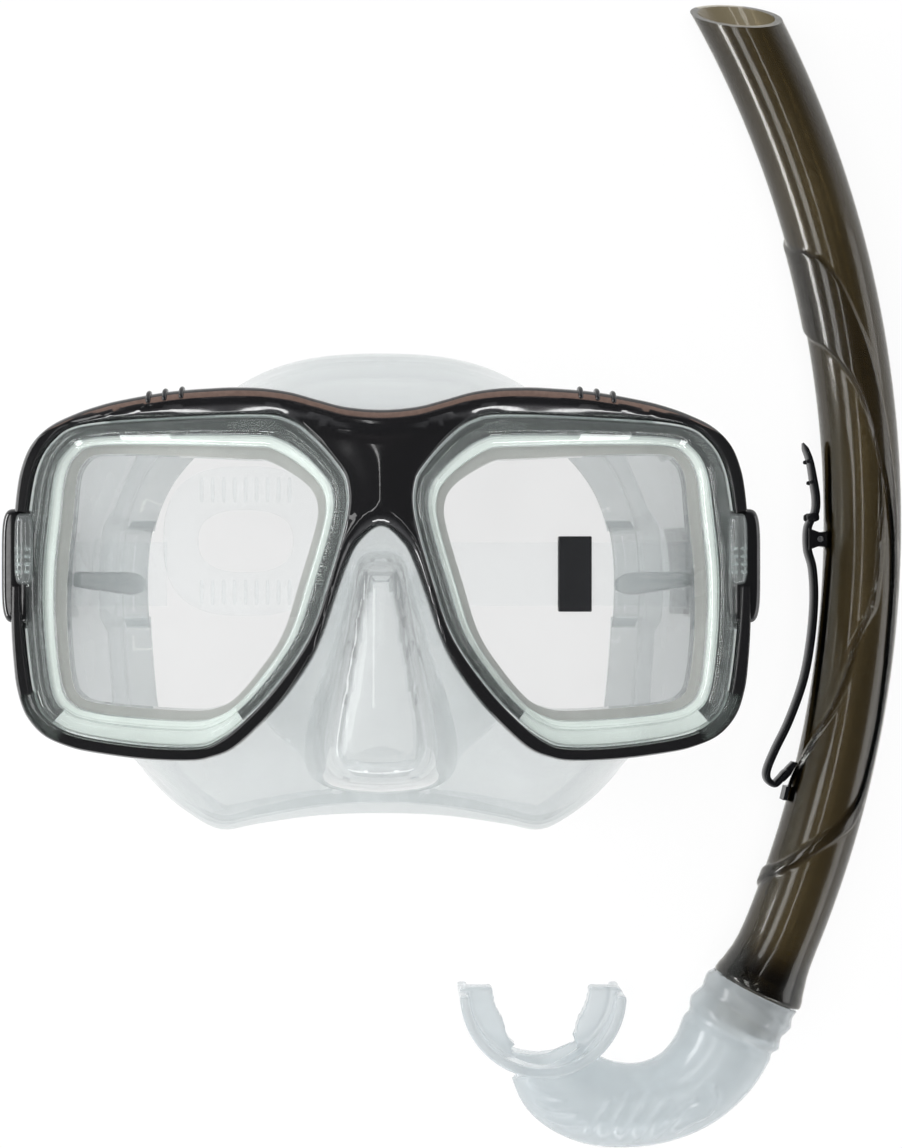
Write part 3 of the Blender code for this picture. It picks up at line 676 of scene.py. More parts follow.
def corner_loop(edge_inset, rim_inset, first, last):
    """Piece of the band between the frame's edge and the bezel at the lower outer corner."""
    far_edge = offset(resample(smooth_loop(mirrored(FRAME_HALF), 10), 0.7), -edge_inset)
    near_edge = resample(offset(rim_outer, -rim_inset), 0.7)

    def turn(p):
        return degrees(atan2(p.y + 25, p.x - 70))

    def within(loop):
        return sorted((p for p in loop if p.x > 70 and last < turn(p) < first), key=turn)

    return within(far_edge) + within(near_edge)[::-1]


def latch_pocket(side):
    """Room for a latch tab in the frame and the bezel."""
    return rounded_block((side * 90.4, LATCH_Y), (5.7, 9.2), 75.0, 90.0)


def temple_lug(side, end):
    """Ear that holds one end of the buckle's pin."""
    x, z = LUG_AT
    profile = [(x - 3, 53.0), (x - 3, z)] + arc(LUG_AT, 3.0, 190, 350, 14)
    profile += [(x + 3, z), (x + 3, 53.0)]
    rings = []
    for y, inset in ((11.6, 0.25), (11.9, 0.0), (13.3, 0.0), (13.6, 0.25)):
        size = 1 - inset / 3
        rings.append([(side * (x + (px - x) * size), end * y, z + (pz - z) * size)
                      for px, pz in profile])
    return skin(rings)


def make_frame():
    shell = raw_object("frame_front", frame_face())
    corner = prism(corner_loop(0.9, 2.5, -12.5, -62), 66.5, 90)
    for side, _ in SIDES:
        combine(shell, latch_pocket(side), "DIFFERENCE")
        combine(shell, sided(corner, side), "DIFFERENCE")
    place(shell, BLACK, "mask", "black_gloss", sweep=True, angle=32, replaces=["frame"])
    warm_lit.objects.link(shell)
    ribs, temples = [], []
    for x, y in ((48.5, 44.95), (52.6, 44.5), (56.6, 43.95)):
        path = smooth_path([(x - .1, y + 0.15, 72.4), (x - .1, y + 0.2, 74.4),
                            (x, y - 0.2, 75.7), (x, y - 1.2, 76.7), (x, y - 2.4, 77.4)], 5)
        rib = bead([swept(p) for p in path], 0.62)
        ribs += [rib, flipped(rib)]
    piece("frame_grip_ribs", merged(*ribs), BLACK, "mask", "black_gloss", angle=60)
    for side, _ in SIDES:
        temples += [rounded_block((side * 86.8, 0.3), (3.9, 13.5), 51.4, 63.0),
                    rounded_block((side * 88.9, 2.0), (4.2, 14.0), 59.0, 67.5),
                    temple_lug(side, -1), temple_lug(side, 1)]
    piece("frame_temples", merged(*temples), BLACK, "mask", "black_gloss", angle=35)


# ---- bezels, panes and latches

def bezel_line(share):
    """Outline from the bezel's outer edge at 0 to its window at 1."""
    return between(rim_outer, rim_window, share)


def rim_shape():
    section = [
        (0.0, 68.9), (0.0, 75.3), (0.01, 75.65), (0.03, 75.85), (0.2, 76.65), (0.22, 76.72),
        (0.3, 76.95), (0.4, 77.05), (0.48, 76.95), (0.54, 76.7), (0.57, 76.4), (0.6, 76.1),
        (0.63, 75.95), (0.82, 74.95), (0.85, 74.8), (0.93, 74.3), (0.985, 73.6), (1.0, 73.3),
        (1.0, 72.3), (0.66, 72.3), (0.64, 74.2), (0.1, 74.2), (0.06, 73.9), (0.06, 68.9),
    ]
    return stacked([(bezel_line(share), z) for share, z in section], ring_closed=True)


# Sections under the bezel: share from its outer edge to its window, and height
SEAL_SECTION = ((0.09, 68.9), (0.09, 73.8), (0.12, 74.08), (0.6, 74.08), (0.62, 73.9),
                (0.62, 72.06), (0.39, 72.06), (0.39, 68.9))
# White ring on the pane under the bezel's inner slope: painted highlight for the glint that the
# clear bezel shows there
PAINTED_GLINT_SECTION = ((0.67, 72.06), (0.67, 72.25), (0.96, 72.25), (0.96, 72.06))
GASKET_SECTION = ((0.98, 67.6), (0.98, 68.9), (1.36, 68.9), (1.36, 67.6))
HOOK_TAB = [(45.5, 35.4), (57.5, 34.9), (57.4, 33.6), (45.5, 34.1)]


def rim_band(section, part):
    """Band of a section under the bezel: all the way round, its low run or the rest of it."""
    stations = [[(*outer.lerp(window, share), z) for share, z in section]
                for outer, window in zip(rim_outer, rim_window)]
    if part == "all":
        return skin(stations + stations[:1], capped=False)
    low = [30 < p.x < 80 and p.y < -35 for p in rim_outer]
    first = next(i for i in range(len(low)) if low[i] and not low[i - 1])
    length = sum(low)
    turned = stations[first:] + stations[:first]
    return skin(turned[:length + 1] if part == "low" else turned[length:] + turned[:1])


def corner_flange():
    """Clear corner of the bezel that shows inside the frame's edge strip."""
    return slab(corner_loop(1.15, 0.05, -13.3, -61.2),
                ((67, -.35), (67.3, 0), (75.2, 0), (75.8, -.2), (76.1, -.6)))


def latch_shape(side):
    """Rounded tab with a smooth thumb end and four grip ridges."""
    shapes = [rounded_block((0, 0), (2.3, 8.7), 75.3, 78.2)]
    for y in (-5.6 + 1.9 * i for i in range(4)):
        for x in (-1.15, 1.15):
            rings = []
            for k in range(6):
                r = 0.5 * dome((k - 2.5) / 3.1)
                rings.append([(x - 0.75 + 0.3 * k, y + r * cos(t),
                               78.25 + 0.8 * r * sin(t)) for t in turns(10)])
            shapes.append(skin(rings))
    verts, faces = merged(*shapes)
    return [(side * 87.4 + x, LATCH_Y + y, z) for x, y, z in verts], faces


def pane_shape():
    """Flat glass whose faces run in rings to the middle, so that they shade evenly."""
    hub = sum(rim_window, Vector((0, 0))) / len(rim_window)
    rim, waist = bezel_line(0.46), bezel_line(0.42)

    def inward(z):
        return [at_height([p.lerp(hub, t) for p in rim], z) for t in (0.25, 0.5, 0.75, 0.95)]

    edge = [at_height(line, z) for line, z in (
        (rim, LENS_BACK), (waist, LENS_BACK + 0.25), (waist, LENS_FRONT - 0.25), (rim, LENS_FRONT))]
    return skin(inward(LENS_BACK)[::-1] + edge + inward(LENS_FRONT))


def make_front():
    for side, word in SIDES:
        rim = raw_object(f"bezel_{word}", sided(rim_shape(), side))
        combine(rim, latch_pocket(side), "DIFFERENCE")
        place(rim, RIM_CLEAR, "mask", "clear_rim", sweep=True, angle=38,
              replaces=[f"rim_{word}"])
        piece(f"bezel_corner_{word}", sided(corner_flange(), side), RIM_CLEAR, "mask",
              "clear_rim", sweep=True, angle=38)
        piece(f"pane_{word}", sided(pane_shape(), side), PANE, "mask", "lens_glass",
              sweep=True, angle=30, replaces=[f"lens_{word}"])
        hook = raw_object(f"bezel_hook_{word}", sided(prism(HOOK_TAB, 72.5, 73.6), side))
        bevel(hook, 0.25, 40)
        place(applied(hook), BLACK, "mask", "black_gloss", sweep=True)
        # The seal's low run and the ring under the inner slope are near-white: painted highlight
        # for the bezel's glints along its bottom and its window
        for name, material, slot, section, part in (
                ("seal", BLACK, "black_gloss", SEAL_SECTION, "upper"),
                ("seal_low_painted_glint", PAINTED_GLINT_SILICONE, "clear_silicone", SEAL_SECTION, "low"),
                ("painted_glint_ring", PAINTED_GLINT_SILICONE, "clear_silicone", PAINTED_GLINT_SECTION, "all"),
                ("gasket", GASKET, "clear_silicone", GASKET_SECTION, "all")):
            piece(f"pane_{name}_{word}", sided(rim_band(section, part), side), material,
                  "mask", slot, sweep=True, angle=30)
        piece(f"latch_tab_{word}", latch_shape(side), TAB_CLEAR, f"latch_{word}", "clear_rim",
              sweep=True, angle=50, replaces=[f"latch_{word}"])


# ---- the skirt

MOUTH_INSET = 8.0
RELIEF_HALF = 11.7


def skirt_ring(level, inset=0.0):
    front, rear = (smooth_loop(mirrored(half), 5) for half in (SKIRT_FRONT, SKIRT_REAR))
    share = (1.0 - level / WEB_FRONT) ** 0.85
    return offset(between(front, rear, share), -inset)


def nose_rings(inset):
    """Sections of the nose pocket, with rounded shoulders at its front."""
    heights = [height for height, _ in NOSE_SECTIONS]
    halves = np.array([half for _, half in NOSE_SECTIONS])
    rings = []
    for z in (8, 18, 30, 40, 50, 60, 66, 70, 73, 74.6, 75.5):
        half = [(np.interp(z, heights, halves[:, k, 0]), np.interp(z, heights, halves[:, k, 1]))
                for k in range(halves.shape[1])]
        shrink = {74.6: 0.3, 75.5: 1.3}.get(z, 0.0)
        rings.append(at_height(offset(smooth_loop(mirrored(half), 5), -inset - shrink),
                               z - (inset if z > 70 else 0)))
    return rings


def cut_bridge(obj):
    """Cuts a flat-faced piece near the bridge so that it can follow the sweep."""
    bm = bmesh.new()
    bm.from_mesh(obj.data)
    for x in (-8, -6, -4, -2, 0, 2, 4, 6, 8):
        bmesh.ops.bisect_plane(bm, geom=bm.verts[:] + bm.edges[:] + bm.faces[:],
                               plane_co=(x, 0, 0), plane_no=(1, 0, 0), dist=1e-5)
    bmesh.ops.triangulate(bm, faces=[f for f in bm.faces if len(f.verts) > 4])
    bm.to_mesh(obj.data)
    bm.free()


def strap_arch():
    """Raised bridge of the face seal's lip, over the strap's left end."""
    edges = (skirt_ring(0.0, 0.4), skirt_ring(0.0, MOUTH_INSET))
    rings = []
    for y in range(-17, 18):
        far, near = (min(p[0] + (q[0] - p[0]) * (y - p[1]) / (q[1] - p[1])
                         for p, q in zip(loop, loop[1:] + loop[:1])
                         if (p[1] - y) * (q[1] - y) <= 0 and p[1] != q[1]) for loop in edges)
        z = 0.95 + 5.6 * (1 - float(ease(np.array(abs(y)), 10.5, 16.5)))
        section = [(far, z - 0.6), (far, z + 0.6), (far + 0.5, z + 0.88), (near - 0.5, z + 0.88),
                   (near, z + 0.4), (near, z - 0.4), (near - 0.5, z - 0.88), (far + 0.5, z - 0.88)]
        rings.append([(x, y, h) for x, h in section])
    return skin(rings)


def side_rib(side):
    """Rounded rib down the inside of the skirt's side."""
    rings = []
    for i in range(15):
        t = i / 14
        near_end = min(1, (i + 0.3) / 2.5, (14.3 - i) / 4.5)
        fade = dome(1 - near_end, 0.04)
        rings.append([(side * (79.0 - 16.5 * t),
                       -1.3 - 1.6 * t + fade * (1.9 + 1.5 * t) * cos(a),
                       47.0 - 30.0 * t + fade * 1.5 * sin(a)) for a in turns(20)])
    return skin(rings)


def make_skirt():
    levels = [0.0, 0.6, 2.0, 5, 9, 14.0, 20, 27, 34, 41, 48.0, 55, WEB_FRONT]
    skirt = raw_object("face_skirt", stacked([(skirt_ring(z, 0 if z else 0.35), z)
                                              for z in levels]))
    combine(skirt, skin(nose_rings(0.0)), "UNION")
    collar = prism(bezel_line(0.03), WEB_FRONT - 2.0, COLLAR_TOP)
    for side in (1, -1):
        combine(skirt, sided(collar, side), "UNION")
    inner = [WALL] + levels[3:-1] + [WEB_FRONT - WALL]
    hollow = raw_object("hollow", stacked([(skirt_ring(z, WALL), z) for z in inner]))
    combine(hollow, skin(nose_rings(WALL)), "UNION")
    combine(hollow, prism(skirt_ring(0.0, MOUTH_INSET), -2.0, WALL + 2.0), "UNION")
    combine(skirt, hollow, "DIFFERENCE")
    shaft = prism(bezel_line(1.35), WEB_FRONT - 4.0, 72)
    for side in (1, -1):
        combine(skirt, sided(shaft, side), "DIFFERENCE")
    corners = [(-100, -RELIEF_HALF), (100, -RELIEF_HALF), (100, RELIEF_HALF), (-100, RELIEF_HALF)]
    combine(skirt, prism(corners, -2.0, 4.4), "DIFFERENCE")
    for side in (1, -1):
        combine(skirt, sided(strap_arch(), side), "UNION")
    cut_bridge(skirt)
    place(skirt, SILICONE, "mask", "clear_silicone", sweep=True, angle=48, replaces=["skirt"])
    piece("skirt_side_ribs", merged(side_rib(-1), side_rib(1)), SILICONE, "mask",
          "clear_silicone", angle=60)


# ---- the strap

STRAP_T, STRAP_Z, STRAP_HALF = 1.4, 2.3, 8.7
ROLLER_AT, ROLLER_R = (87.5, 34.0), 1.9
TAIL_END = 21.0
PAD_CENTRE = Vector((-37.0, 9.0))


def strap_band(path):
    """Flat band with rounded edges and fine lengthwise grooves along a path in the XZ plane."""
    profile = []
    for i in range(23):
        y = -1 + 2 * i / 22
        groove = 0.07 * (1 - cos(y * 5 * 2 * pi)) if abs(y) < 0.8 else 0
        edge = dome(max(0, (abs(y) - 0.92) / 0.08), 0.02)
        profile.append((y, (STRAP_T / 2 - groove) * edge))
    section = profile + [(y, -h) for y, h in reversed(profile)]
    rings = []
    for i, p in enumerate(path):
        ahead = heading(path, i)
        rings.append([(p.x - ahead.y * h, y * STRAP_HALF, p.y + ahead.x * h)
                      for y, h in section])
    return skin(rings)


def strap_side():
    """Right-hand strap path: tail, turn round the roller, limb down to the table."""
    x, z = ROLLER_AT
    turn_r = ROLLER_R + GAP + STRAP_T / 2
    turn = [Vector(p) for p in arc(ROLLER_AT, turn_r, 0, 180, 25)]
    limb = smooth_path([(x - turn_r, z), (84.0, 25.0), (82.3, 14.0), (78.5, 6.0),
                        (71.5, STRAP_Z), (62.5, STRAP_Z)], 10)
    tail = [Vector((x + turn_r, TAIL_END + (z - TAIL_END) * i / 8)) for i in range(8)]
    return tail + turn + limb[1:]


def pad_shape():
    """Split back pad: an oval ring of silicone with raised ribs across its two limbs."""
    outer, inner = ([PAD_CENTRE + Vector(p) for p in superellipse(half, (power, power), 96)]
                    for half, power in (((22.5, 20.5), 0.75), ((13.0, 8.5), 0.8)))
    top = [(0.02, 0.45), (0.08, 0.68), (0.2, 0.7), (0.8, 0.7), (0.92, 0.68), (0.98, 0.45)]
    section = [(0.0, 0.0)] + top + [(1.0, 0.0)] + [(share, -z) for share, z in reversed(top)]
    shapes = [stacked([(between(outer, inner, share), STRAP_Z + z) for share, z in section],
                      ring_closed=True)]
    for i in range(9):
        x = PAD_CENTRE.x - 12 + 3 * i
        for low, high in ((-17.5, -10.5), (10.5, 17.5)):
            path = [(x, PAD_CENTRE.y + low + (high - low) * k / 8, STRAP_Z + 0.75)
                    for k in range(9)]
            shapes.append(bead(path, 0.5, 8))
    return merged(*shapes)


def make_strap():
    side = strap_side()
    split = next(i for i, p in enumerate(side) if p.x < 72.5 and p.y < 3)
    for sign, word in SIDES:
        limb = piece(f"strap_end_{word}", sided(strap_band(side[:split + 1]), sign),
                     STRAP_CLEAR, None, "strap_silicone", angle=50)
        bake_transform(limb)
    x = side[split].x
    right = side[split:split + 1] + [Vector((x + (-15.0 - x) * i / 30, STRAP_Z))
                                     for i in range(1, 31)]
    left = [Vector((-x + (-58.5 + x) * i / 8, STRAP_Z)) for i in range(9)]
    piece("strap_back", merged(strap_band(right), strap_band(left), pad_shape()), STRAP_CLEAR,
          "mask", "strap_silicone", angle=50, replaces=["strap"])


# ---- the snorkel

TUBE_CENTRE = (-162.4, 14.7)
TUBE_BEND_R, TUBE_R, TUBE_BORE_R = 292.0, 10.25, 8.6
TUBE_FROM, TUBE_TO = radians(-25.6), radians(29.5)
SPIGOT_LENGTH, SPIGOT_R, SHOULDER_R = 11.0, 10.1, 12.4
BOSS_AT = (117.4, 9.3)
MOUTH_AT, MOUTH_CUT_TILT = (96.0, 150.7), radians(29.3)

# Lines of the moulded swirl on the tube: degrees round the bend, degrees round the tube from
# its top towards the outside of the bend
SWIRL_UPPER = [(16.2, -135), (15, -90), (14.67, -57), (14.29, -40), (13.9, -25), (13.1, -13),
               (12.25, -3), (10.6, 8), (8.5, 21), (6.2, 30), (3.6, 38), (0, 48), (-6, 54),
               (-11, 56), (-14.3, 54), (-15.75, 44), (-16.5, 26), (-17.4, 4), (-18.4, -21),
               (-19.4, -48), (-20.2, -90), (-20.9, -135)]
SWIRL_LOWER = [(11.4, -135), (10.2, -90), (9.7, -70), (9.1, -46), (7.6, -18), (5.8, 0),
               (3.3, 13), (1, 26), (-1.6, 35), (-6.2, 38), (-10.4, 42), (-14.1, 38),
               (-15.4, 22), (-16.4, 2), (-17.55, -24), (-18.8, -56), (-19.3, -90),
               (-20, -135)]
SWIRL_RIDGE = [(-15.2, -100), (-13.9, -80), (-13.2, -68), (-11.4, -46), (-9.7, -29), (-8, -18),
               (-6.4, -10), (-5.2, 2), (-4.3, 10), (-1.3, 15), (2.5, 18)]
SKIN_SCALE = (radians(1) * TUBE_BEND_R, radians(1) * TUBE_R)
BORE_STEPS, TUBE_STEPS, TUBE_SIDES = 60, 560, 128


def arc_point(angle):
    outward = Vector((cos(angle), sin(angle), 0))
    along = Vector((-sin(angle), cos(angle), 0))
    return Vector((*TUBE_CENTRE, 0)) + outward * TUBE_BEND_R, outward, along


def ring_about(spot, outward, across, tall, sides=48):
    """Ring of the given half sizes, which may change round it."""
    sizes = zip(np.full(sides, across), np.full(sides, tall), turns(sides))
    return [tuple(spot + outward * (a * cos(t)) + Vector((0, 0, b * sin(t))))
            for a, b, t in sizes]


def on_skin(line):
    """Smooth line in millimetres over the tube's skin."""
    return smooth_path([(a * SKIN_SCALE[0], b * SKIN_SCALE[1]) for a, b in line], 5)


def swirl_height(turn, around, band, ridge):
    """How far the raised band and its ridge stand proud at places on the tube."""
    spots = np.stack([np.degrees(turn) * SKIN_SCALE[0], np.degrees(around) * SKIN_SCALE[1]], 1)
    depth = distance_to(spots, band) * np.where(inside(spots, band), 1.0, -1.0)
    crest = 0.7 * np.exp(-(distance_to(spots, ridge) / 0.65) ** 2)
    return np.maximum(0.8 * ease(depth, -0.25, 0.6), crest)


def tube_shape():
    band = on_skin(SWIRL_UPPER) + on_skin(SWIRL_LOWER)[::-1]
    ridge = on_skin(SWIRL_RIDGE)
    ridge += ridge[::-1]
    around = np.array(turns(TUBE_SIDES))
    # around = 0 on the outside of the bend, quarter turn on top
    from_top = np.mod(pi / 2 - around + pi, 2 * pi) - pi
    start, outward, along = arc_point(TUBE_FROM)
    stations = [(start - along * down, outward, radius) for down, radius in (
        (SPIGOT_LENGTH, 9.6), (10.0, SPIGOT_R), (7.0, SPIGOT_R), (6.6, SPIGOT_R - .35),
        (4.2, SPIGOT_R - .35), (3.8, SPIGOT_R), (0.0, SPIGOT_R), (0.0, SHOULDER_R - .5))]
    stations += [(*arc_point(TUBE_FROM + radians(turn))[:2], radius) for turn, radius in (
        (0.05, SHOULDER_R - .1), (0.15, SHOULDER_R), (0.45, SHOULDER_R - .25),
        (0.7, SHOULDER_R - .7), (1.1, 11.3), (1.6, 10.75), (2.2, 10.4), (3.0, TUBE_R))]
    first = TUBE_FROM + radians(3.3)
    for i in range(TUBE_STEPS + 1):
        angle = first + (TUBE_TO - first) * i / TUBE_STEPS
        proud = 0
        if -22 < degrees(angle) < 18:
            proud = swirl_height(np.full(TUBE_SIDES, angle), from_top, band, ridge)
        stations.append((*arc_point(angle)[:2], TUBE_R + proud))
    bore = [(start - along * SPIGOT_LENGTH, outward, TUBE_BORE_R)]
    bore += [(*arc_point(TUBE_FROM + (TUBE_TO - TUBE_FROM) * i / BORE_STEPS)[:2], TUBE_BORE_R)
             for i in range(BORE_STEPS + 1)]
    return skin([ring_about(spot, away, radius, radius, TUBE_SIDES)
                 for spot, away, radius in stations + bore[::-1]], ring_closed=True)


def boss_shape():
    """Round-nosed lug on the tube with the pin's hole."""
    x, y = BOSS_AT
    outer = [(x + 3.0, y + 2.3)] + arc(BOSS_AT, 1.9, 90, 270, 17) + [(x + 3.0, y - 2.3)]
    outer = resample([Vector(p) for p in outer], 0.35)
    angles = [atan2(p.y - y, p.x - x) for p in outer]
    inner = [Vector((x + 1.0 * cos(a), y + 1.0 * sin(a))) for a in angles]
    return stacked([(between(outer, inner, share), z) for share, z in (
        (0, -2.3), (0, 2.3), (.12, 2.6), (.88, 2.6), (1, 2.4), (1, -2.4), (.88, -2.6),
        (.12, -2.6))], ring_closed=True)


def make_tube():
    tube = raw_object("smoked_tube", tube_shape())
    normal = Vector((0, cos(MOUTH_CUT_TILT), sin(MOUTH_CUT_TILT)))
    blade = raw_object("blade", prism([(-30, -30), (30, -30), (30, 30), (-30, 30)], 0, 40))
    turn = normal.to_track_quat("Z", "Y").to_matrix().to_4x4()
    blade.data.transform(Matrix.Translation((*MOUTH_AT, 0)) @ turn)
    combine(tube, blade, "DIFFERENCE")
    place(tube, SMOKE, "snorkel", "smoke_tube", SNORKEL, angle=50, replaces=["snorkel_tube"])
    piece("pivot_boss", boss_shape(), BLACK, "snorkel", "smoke_tube", SNORKEL)


# The elbow's middle line, its half width and half height there, and the raised lines on its
# upper face, all in the snorkel's plane
ELBOW_LINE = [(94.6, -121), (89.2, -131), (81, -138.6), (70, -142.3), (58, -141.6),
              (49.2, -137), (45.4, -130)]
ELBOW_SIZES = [(12.6, 13), (13, 13), (12.2, 12.7), (11.3, 11.9), (11, 11),
               (11.6, 10.4), (11.9, 9.5), (11.6, 8.6)]
ELBOW_RIBS = [
    [(38.5, -135.6), (43.8, -138), (49.5, -138.6)],
    [(40, -139.8), (45.5, -142.2), (52.5, -142.4)],
    [(43.5, -144.2), (49, -145.8), (55, -145.4)],
    [(54.6, -149), (58.2, -143), (61.2, -138)],
    [(58.6, -150.2), (62.6, -143), (66.4, -136.6)],
    [(62.8, -150.6), (67.6, -142.6), (71.4, -137)],
    [(67.2, -150.6), (72, -143.2), (76.4, -138)],
    [(71.5, -150), (76.8, -144), (81, -139.6), (84.2, -138.6)],
    [(77, -148.2), (82, -144.6), (86.4, -142.4), (88.4, -138.6), (87.4, -134.4)],
]
ELBOW_WALL = 2.6
BITE_CENTRE, BITE_R, BITE_HALF = (42.8, -111.0), 22.0, 12.6
# Steps of the collar that grips the tube: place along the elbow, and how far each stands proud
COLLAR_STEPS = ((0.8, -0.6), (3.2, 0.5), (6.8, -0.7), (10.2, 0.5), (13.0, -0.9))


def elbow_top(point, stations):
    """Height of the elbow's upper face over a point of the snorkel's plane."""
    spot, outward, size = min(stations, key=lambda s: (s[0].xy - point).length)
    return size.y * dome((point - spot.xy).dot(outward.xy) / size.x)


def make_mouthpiece():
    start, _, along = arc_point(TUBE_FROM)
    first = start - along * GAP
    path = smooth_path([(first.x - 0.3, first.y)] + ELBOW_LINE, 16)
    stations = []
    for i, (spot, size) in enumerate(zip(path, smooth_path(ELBOW_SIZES, 16))):
        ahead = heading(path, i) if i else -along.xy
        stations.append((Vector((*spot, 0)), Vector((-ahead.y, ahead.x, 0)), size))
    outside = []
    run, before = 0.0, stations[0][0]
    for spot, outward, size in stations:
        run += (spot - before).length
        before = spot
        band = sum(tall * exp(-(run - at) ** 2) for at, tall in COLLAR_STEPS)
        outside.append(ring_about(spot, outward, size.x + band, size.y + band))
    elbow = raw_object("mouthpiece_elbow", skin(outside))
    shield = arc(BITE_CENTRE, BITE_R, 181, 359, 61) + arc(BITE_CENTRE, BITE_R - 2.6, 359, 181, 61)
    combine(elbow, prism(shield, -BITE_HALF, BITE_HALF), "UNION")
    inner = []
    for i in range(61):
        angle = 362 - 184 * i / 60
        near_stem = exp(-((angle - 270) / 42) ** 6)
        tooth = 0.35 * cos(i * 2.2) * (1 - near_stem)
        inner += arc(BITE_CENTRE, 13.0 + 3.6 * near_stem + tooth, angle, angle + 1, 2)[:1]
    tabs = arc(BITE_CENTRE, BITE_R - 1.0, 179, 361, 61) + inner
    combine(elbow, prism(tabs, -3.2, 3.2), "UNION")
    first, outward, _ = stations[0]
    socket = skin([ring_about(first + along * reach, outward, 10.5, 10.5)
                   for reach in (2, -11.4)])
    last, side, size = stations[-1]
    beyond = last + Vector((side.y, -side.x, 0)) * 8
    bore = skin([ring_about(p, o, s.x - ELBOW_WALL, s.y - ELBOW_WALL)
                 for p, o, s in stations[8::2] + [(beyond, side, size)]])
    combine(elbow, socket, "DIFFERENCE")
    combine(elbow, bore, "DIFFERENCE")
    ribs = []
    for line in ELBOW_RIBS:
        track = smooth_path(line, 6)
        ribs.append(bead([(*p, elbow_top(p, stations) - 0.35) for p in track], 0.95))
    combine(elbow, merged(*ribs), "UNION")
    modify(elbow, "even", "REMESH", mode="VOXEL", voxel_size=0.55)
    modify(elbow, "soft", "SMOOTH", factor=0.5, iterations=4)
    place(applied(elbow), MILKY, "mouthpiece", "milky_silicone", SNORKEL, angle=75,
          replaces=["mouthpiece"])


CLIP_LINE = [(113.6, 35.3), (115.4, 30.6), (116.4, 25.2), (117.1, 20.4), (116.8, 16.5),
             (114.9, 12.6), (114.8, 6.8), (116.1, 1.5), (116.5, -7), (115.6, -17.7),
             (113.6, -28.5), (109.8, -39.2), (105.9, -47.3), (103.8, -52.4), (103.8, -55),
             (105.6, -56.4), (107.3, -55), (108.7, -53.4), (110.3, -52.8)]
CLIP_HOOK = [(106, -56.3), (108.2, -55.6), (110, -53.8), (111.6, -50.6), (110.6, -50.4),
             (109, -52), (107, -54.4)]


def clip_leaf():
    """Springy strip of the clip, thin at the thumb and narrow at the hook."""
    line = smooth_path(CLIP_LINE, 8)
    last = len(line) - 1
    rings = []
    for i, spot in enumerate(line):
        ahead = heading(line, i)
        side = Vector((-ahead.y, ahead.x))
        share = i / last
        thick = 0.95 if share > 0.12 else 0.6 + 0.35 * share / 0.12
        wide = 3.4 * (1 if share < 0.93 else 1 - 0.25 * (share - 0.93) / 0.07)
        end = min(1.0, 0.35 + min(i, last - i) / 4)
        rings.append([(*(spot + side * u), v)
                      for u, v in superellipse((thick * end, wide * end), (0.8, 0.7), 20)])
    return skin(rings)


def make_clip():
    """Springy clip: thumb lever with knobs, two ears on the boss, long leg and hook."""
    shapes = [clip_leaf()]
    ear = [Vector(p) for p in [(114.4, 12.2), (114.4, 6.4)] + arc(BOSS_AT, 1.8, -90, 90, 15)]
    for z in (-4.75, 3.15):
        shapes.append(slab(ear, ((z, -.2), (z + .25, 0), (z + 1.35, 0), (z + 1.6, -.2))))
    for x, y, radius in ((114.9, 30.2, 0.8), (115.8, 24.6, 0.8), (115.9, 15.2, 1.7)):
        shapes += [bead([(x, y + 0.7 * radius * (k - 3) / 3, z) for k in range(7)], radius, 16)
                   for z in (2.4, -2.4)]
    shapes.append(slab([Vector(p) for p in CLIP_HOOK],
                       ((-2.2, -.15), (-2.0, 0), (2.0, 0), (2.2, -.15))))
    piece("clip_band", merged(*shapes), CLIP_BLACK, "clip", "black_gloss", SNORKEL, angle=45,
          replaces=["keeper_clip"])


# ---- carried CAD nodes

def refinish():
    """Bevelled edges and finished materials on the small hard parts that CAD already shows."""
    finish_of = {"strap_keeper": SATIN, "keeper_pin": STEEL, "keeper_peg": CLIP_BLACK}
    for _, word in SIDES:
        for part in ("buckle_body", "strap_roller", "release_lever"):
            finish_of[f"{part}_{word}"] = SATIN
        for part in ("buckle_pin", "lever_pin"):
            finish_of[f"{part}_{word}"] = STEEL
    for name, material in finish_of.items():
        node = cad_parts[name]
        for material_slot in node.material_slots:
            material_slot.material = material
        if material is not STEEL:
            modify(node, "weld", "WELD", merge_threshold=2e-6)
            bevel(node, 0.25 * MM, 35)


# ---- stage, light and camera

# Area lights: place from the set's middle, width and height in metres, and watts
LIGHTS = (
    ("softbox_left", (-1.4, 0.1, 0.5), (0.28, 1.5), 15),
    ("softbox_right", (1.5, -0.1, 0.5), (0.6, 1.5), 4),
    ("softbox_low", (0, -1.5, 0.45), (1.6, 0.2), 12),
    ("card_far", (0, 1.3, 0.5), (1.8, 0.4), 5),
    ("fill_top", (0, 0.05, 1.3), (1.0, 1.0), 11),
    ("strip_top", (-0.1, 0.12, 1.25), (0.06, 0.9), 0.8),
    ("panel_top", (-0.7, 0.1, 1.05), (0.3, 1.0), 3.2),
)
LIGHT_AIM = Vector((0, 0, 0.03))
COPPER = (1.0, 0.6, 0.44)
FLOOR_HALF = 3.0
CAMERA_HEIGHT, CAMERA_LENS, CAMERA_SHIFT = 0.62, 70.8, 0.061


def white_floor():
    p = material("studio_floor")
    diffuse = p.add("BsdfDiffuse", Color=p.grey_tone(p.patchy(3, 2, 0.93, 0.96)))
    glow = p.add("Emission", Color=grey(1.0), Strength=1.0)
    return p.done(p.mix(0.9, diffuse, glow))


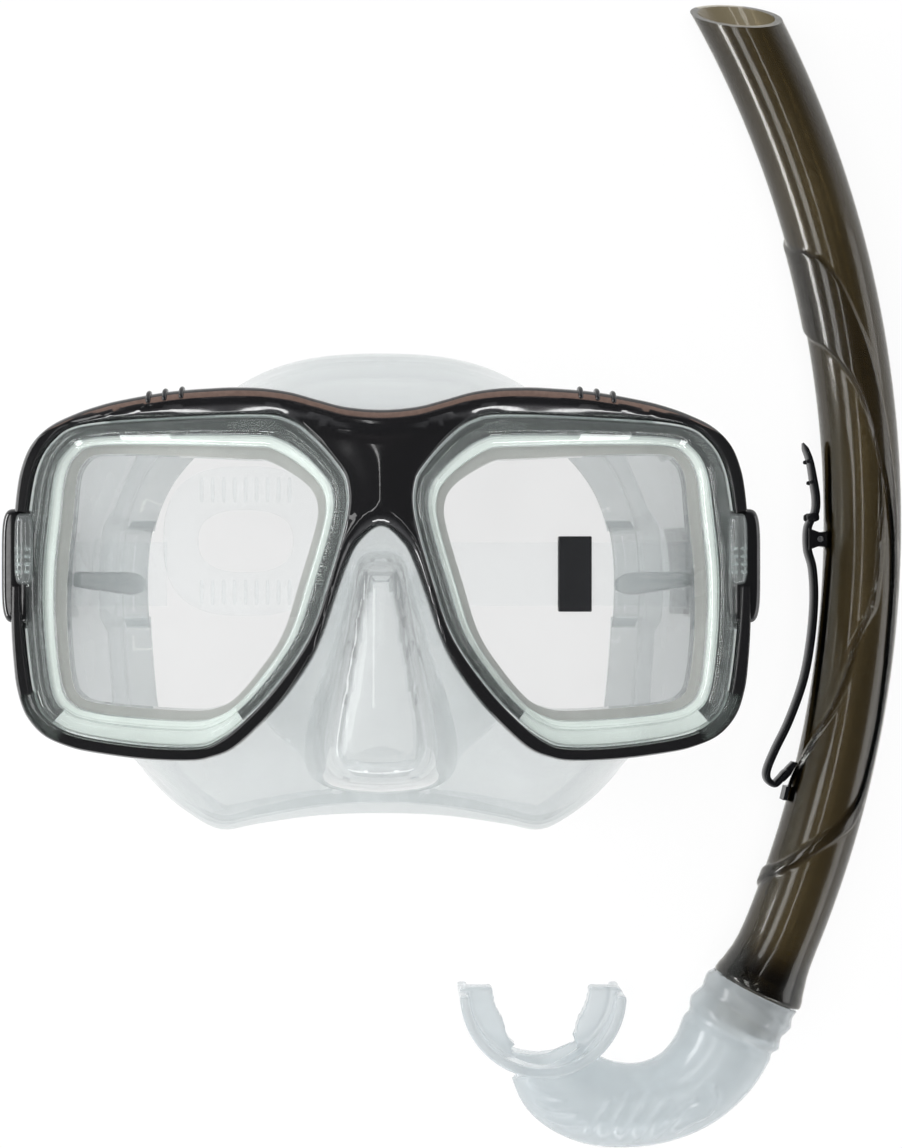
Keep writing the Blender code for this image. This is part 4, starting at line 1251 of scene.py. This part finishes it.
def area_light(name, at, size, power):
    light = bpy.data.lights.new(name, "AREA")
    light.shape = "RECTANGLE"
    light.size, light.size_y = size
    light.energy = power
    obj = linked(name, light)
    obj.location = at
    back = (at - LIGHT_AIM).normalized()
    across = Vector((0, 1, 0)).cross(back).normalized()
    obj.rotation_euler = Matrix((across, back.cross(across), back)).transposed().to_euler()
    obj.visible_camera = False
    return obj


def make_world():
    p = Paint(bpy.data.worlds.new("studio"), "OutputWorld")
    height = p.add("SeparateXYZ", _0=p.add("TexCoord").outputs["Generated"]).outputs["Z"]
    ramp = p.add("ValToRGB", Fac=height)
    ramp.color_ramp.interpolation = "EASE"
    horizon, zenith = ramp.color_ramp.elements
    horizon.position, horizon.color = 0.05, (0.95, 0.96, 1.0, 1)
    zenith.position, zenith.color = 0.75, (0.06, 0.062, 0.065, 1)
    sky = p.add("Background", Color=ramp.outputs[0], Strength=0.9)
    bpy.context.scene.world = p.done(sky)


def make_stage():
    """Floor and lights. Returns the collection of what the copper card lights."""
    edge = FLOOR_HALF
    square = [(-edge, -edge), (edge, -edge), (edge, edge), (-edge, edge)]
    floor = raw_object("studio_floor", prism(square, -0.02, -0.0003))
    floor.data.materials.append(white_floor())
    lights = {name: area_light(name, SET_ORIGIN + Vector(at), size, power)
              for name, at, size, power in LIGHTS}
    card = lights["card_far"]
    card.data.color = COPPER
    card.light_linking.receiver_collection = bpy.data.collections.new("warm_card_lights")
    lights["fill_top"].visible_glossy = False
    return card.light_linking.receiver_collection


def make_camera():
    camera = bpy.data.cameras.new("camera")
    camera.sensor_width = 36
    camera.lens = CAMERA_LENS
    camera.shift_x = CAMERA_SHIFT
    camera.clip_start, camera.clip_end = 0.01, 20
    obj = linked("camera", camera)
    obj.location = (SET_ORIGIN.x, SET_ORIGIN.y, CAMERA_HEIGHT)
    bpy.context.scene.camera = obj


make_camera()
make_world()
warm_lit = make_stage()
make_frame()
make_front()
make_skirt()
make_strap()
make_tube()
make_mouthpiece()
make_clip()
refinish()

scene = bpy.context.scene
scene.view_settings.view_transform = "Standard"
scene.cycles.max_bounces = 24
scene.cycles.transmission_bounces = 20
scene.cycles.transparent_max_bounces = 24
scene.cycles.glossy_bounces = 6
scene.cycles.caustics_reflective = False
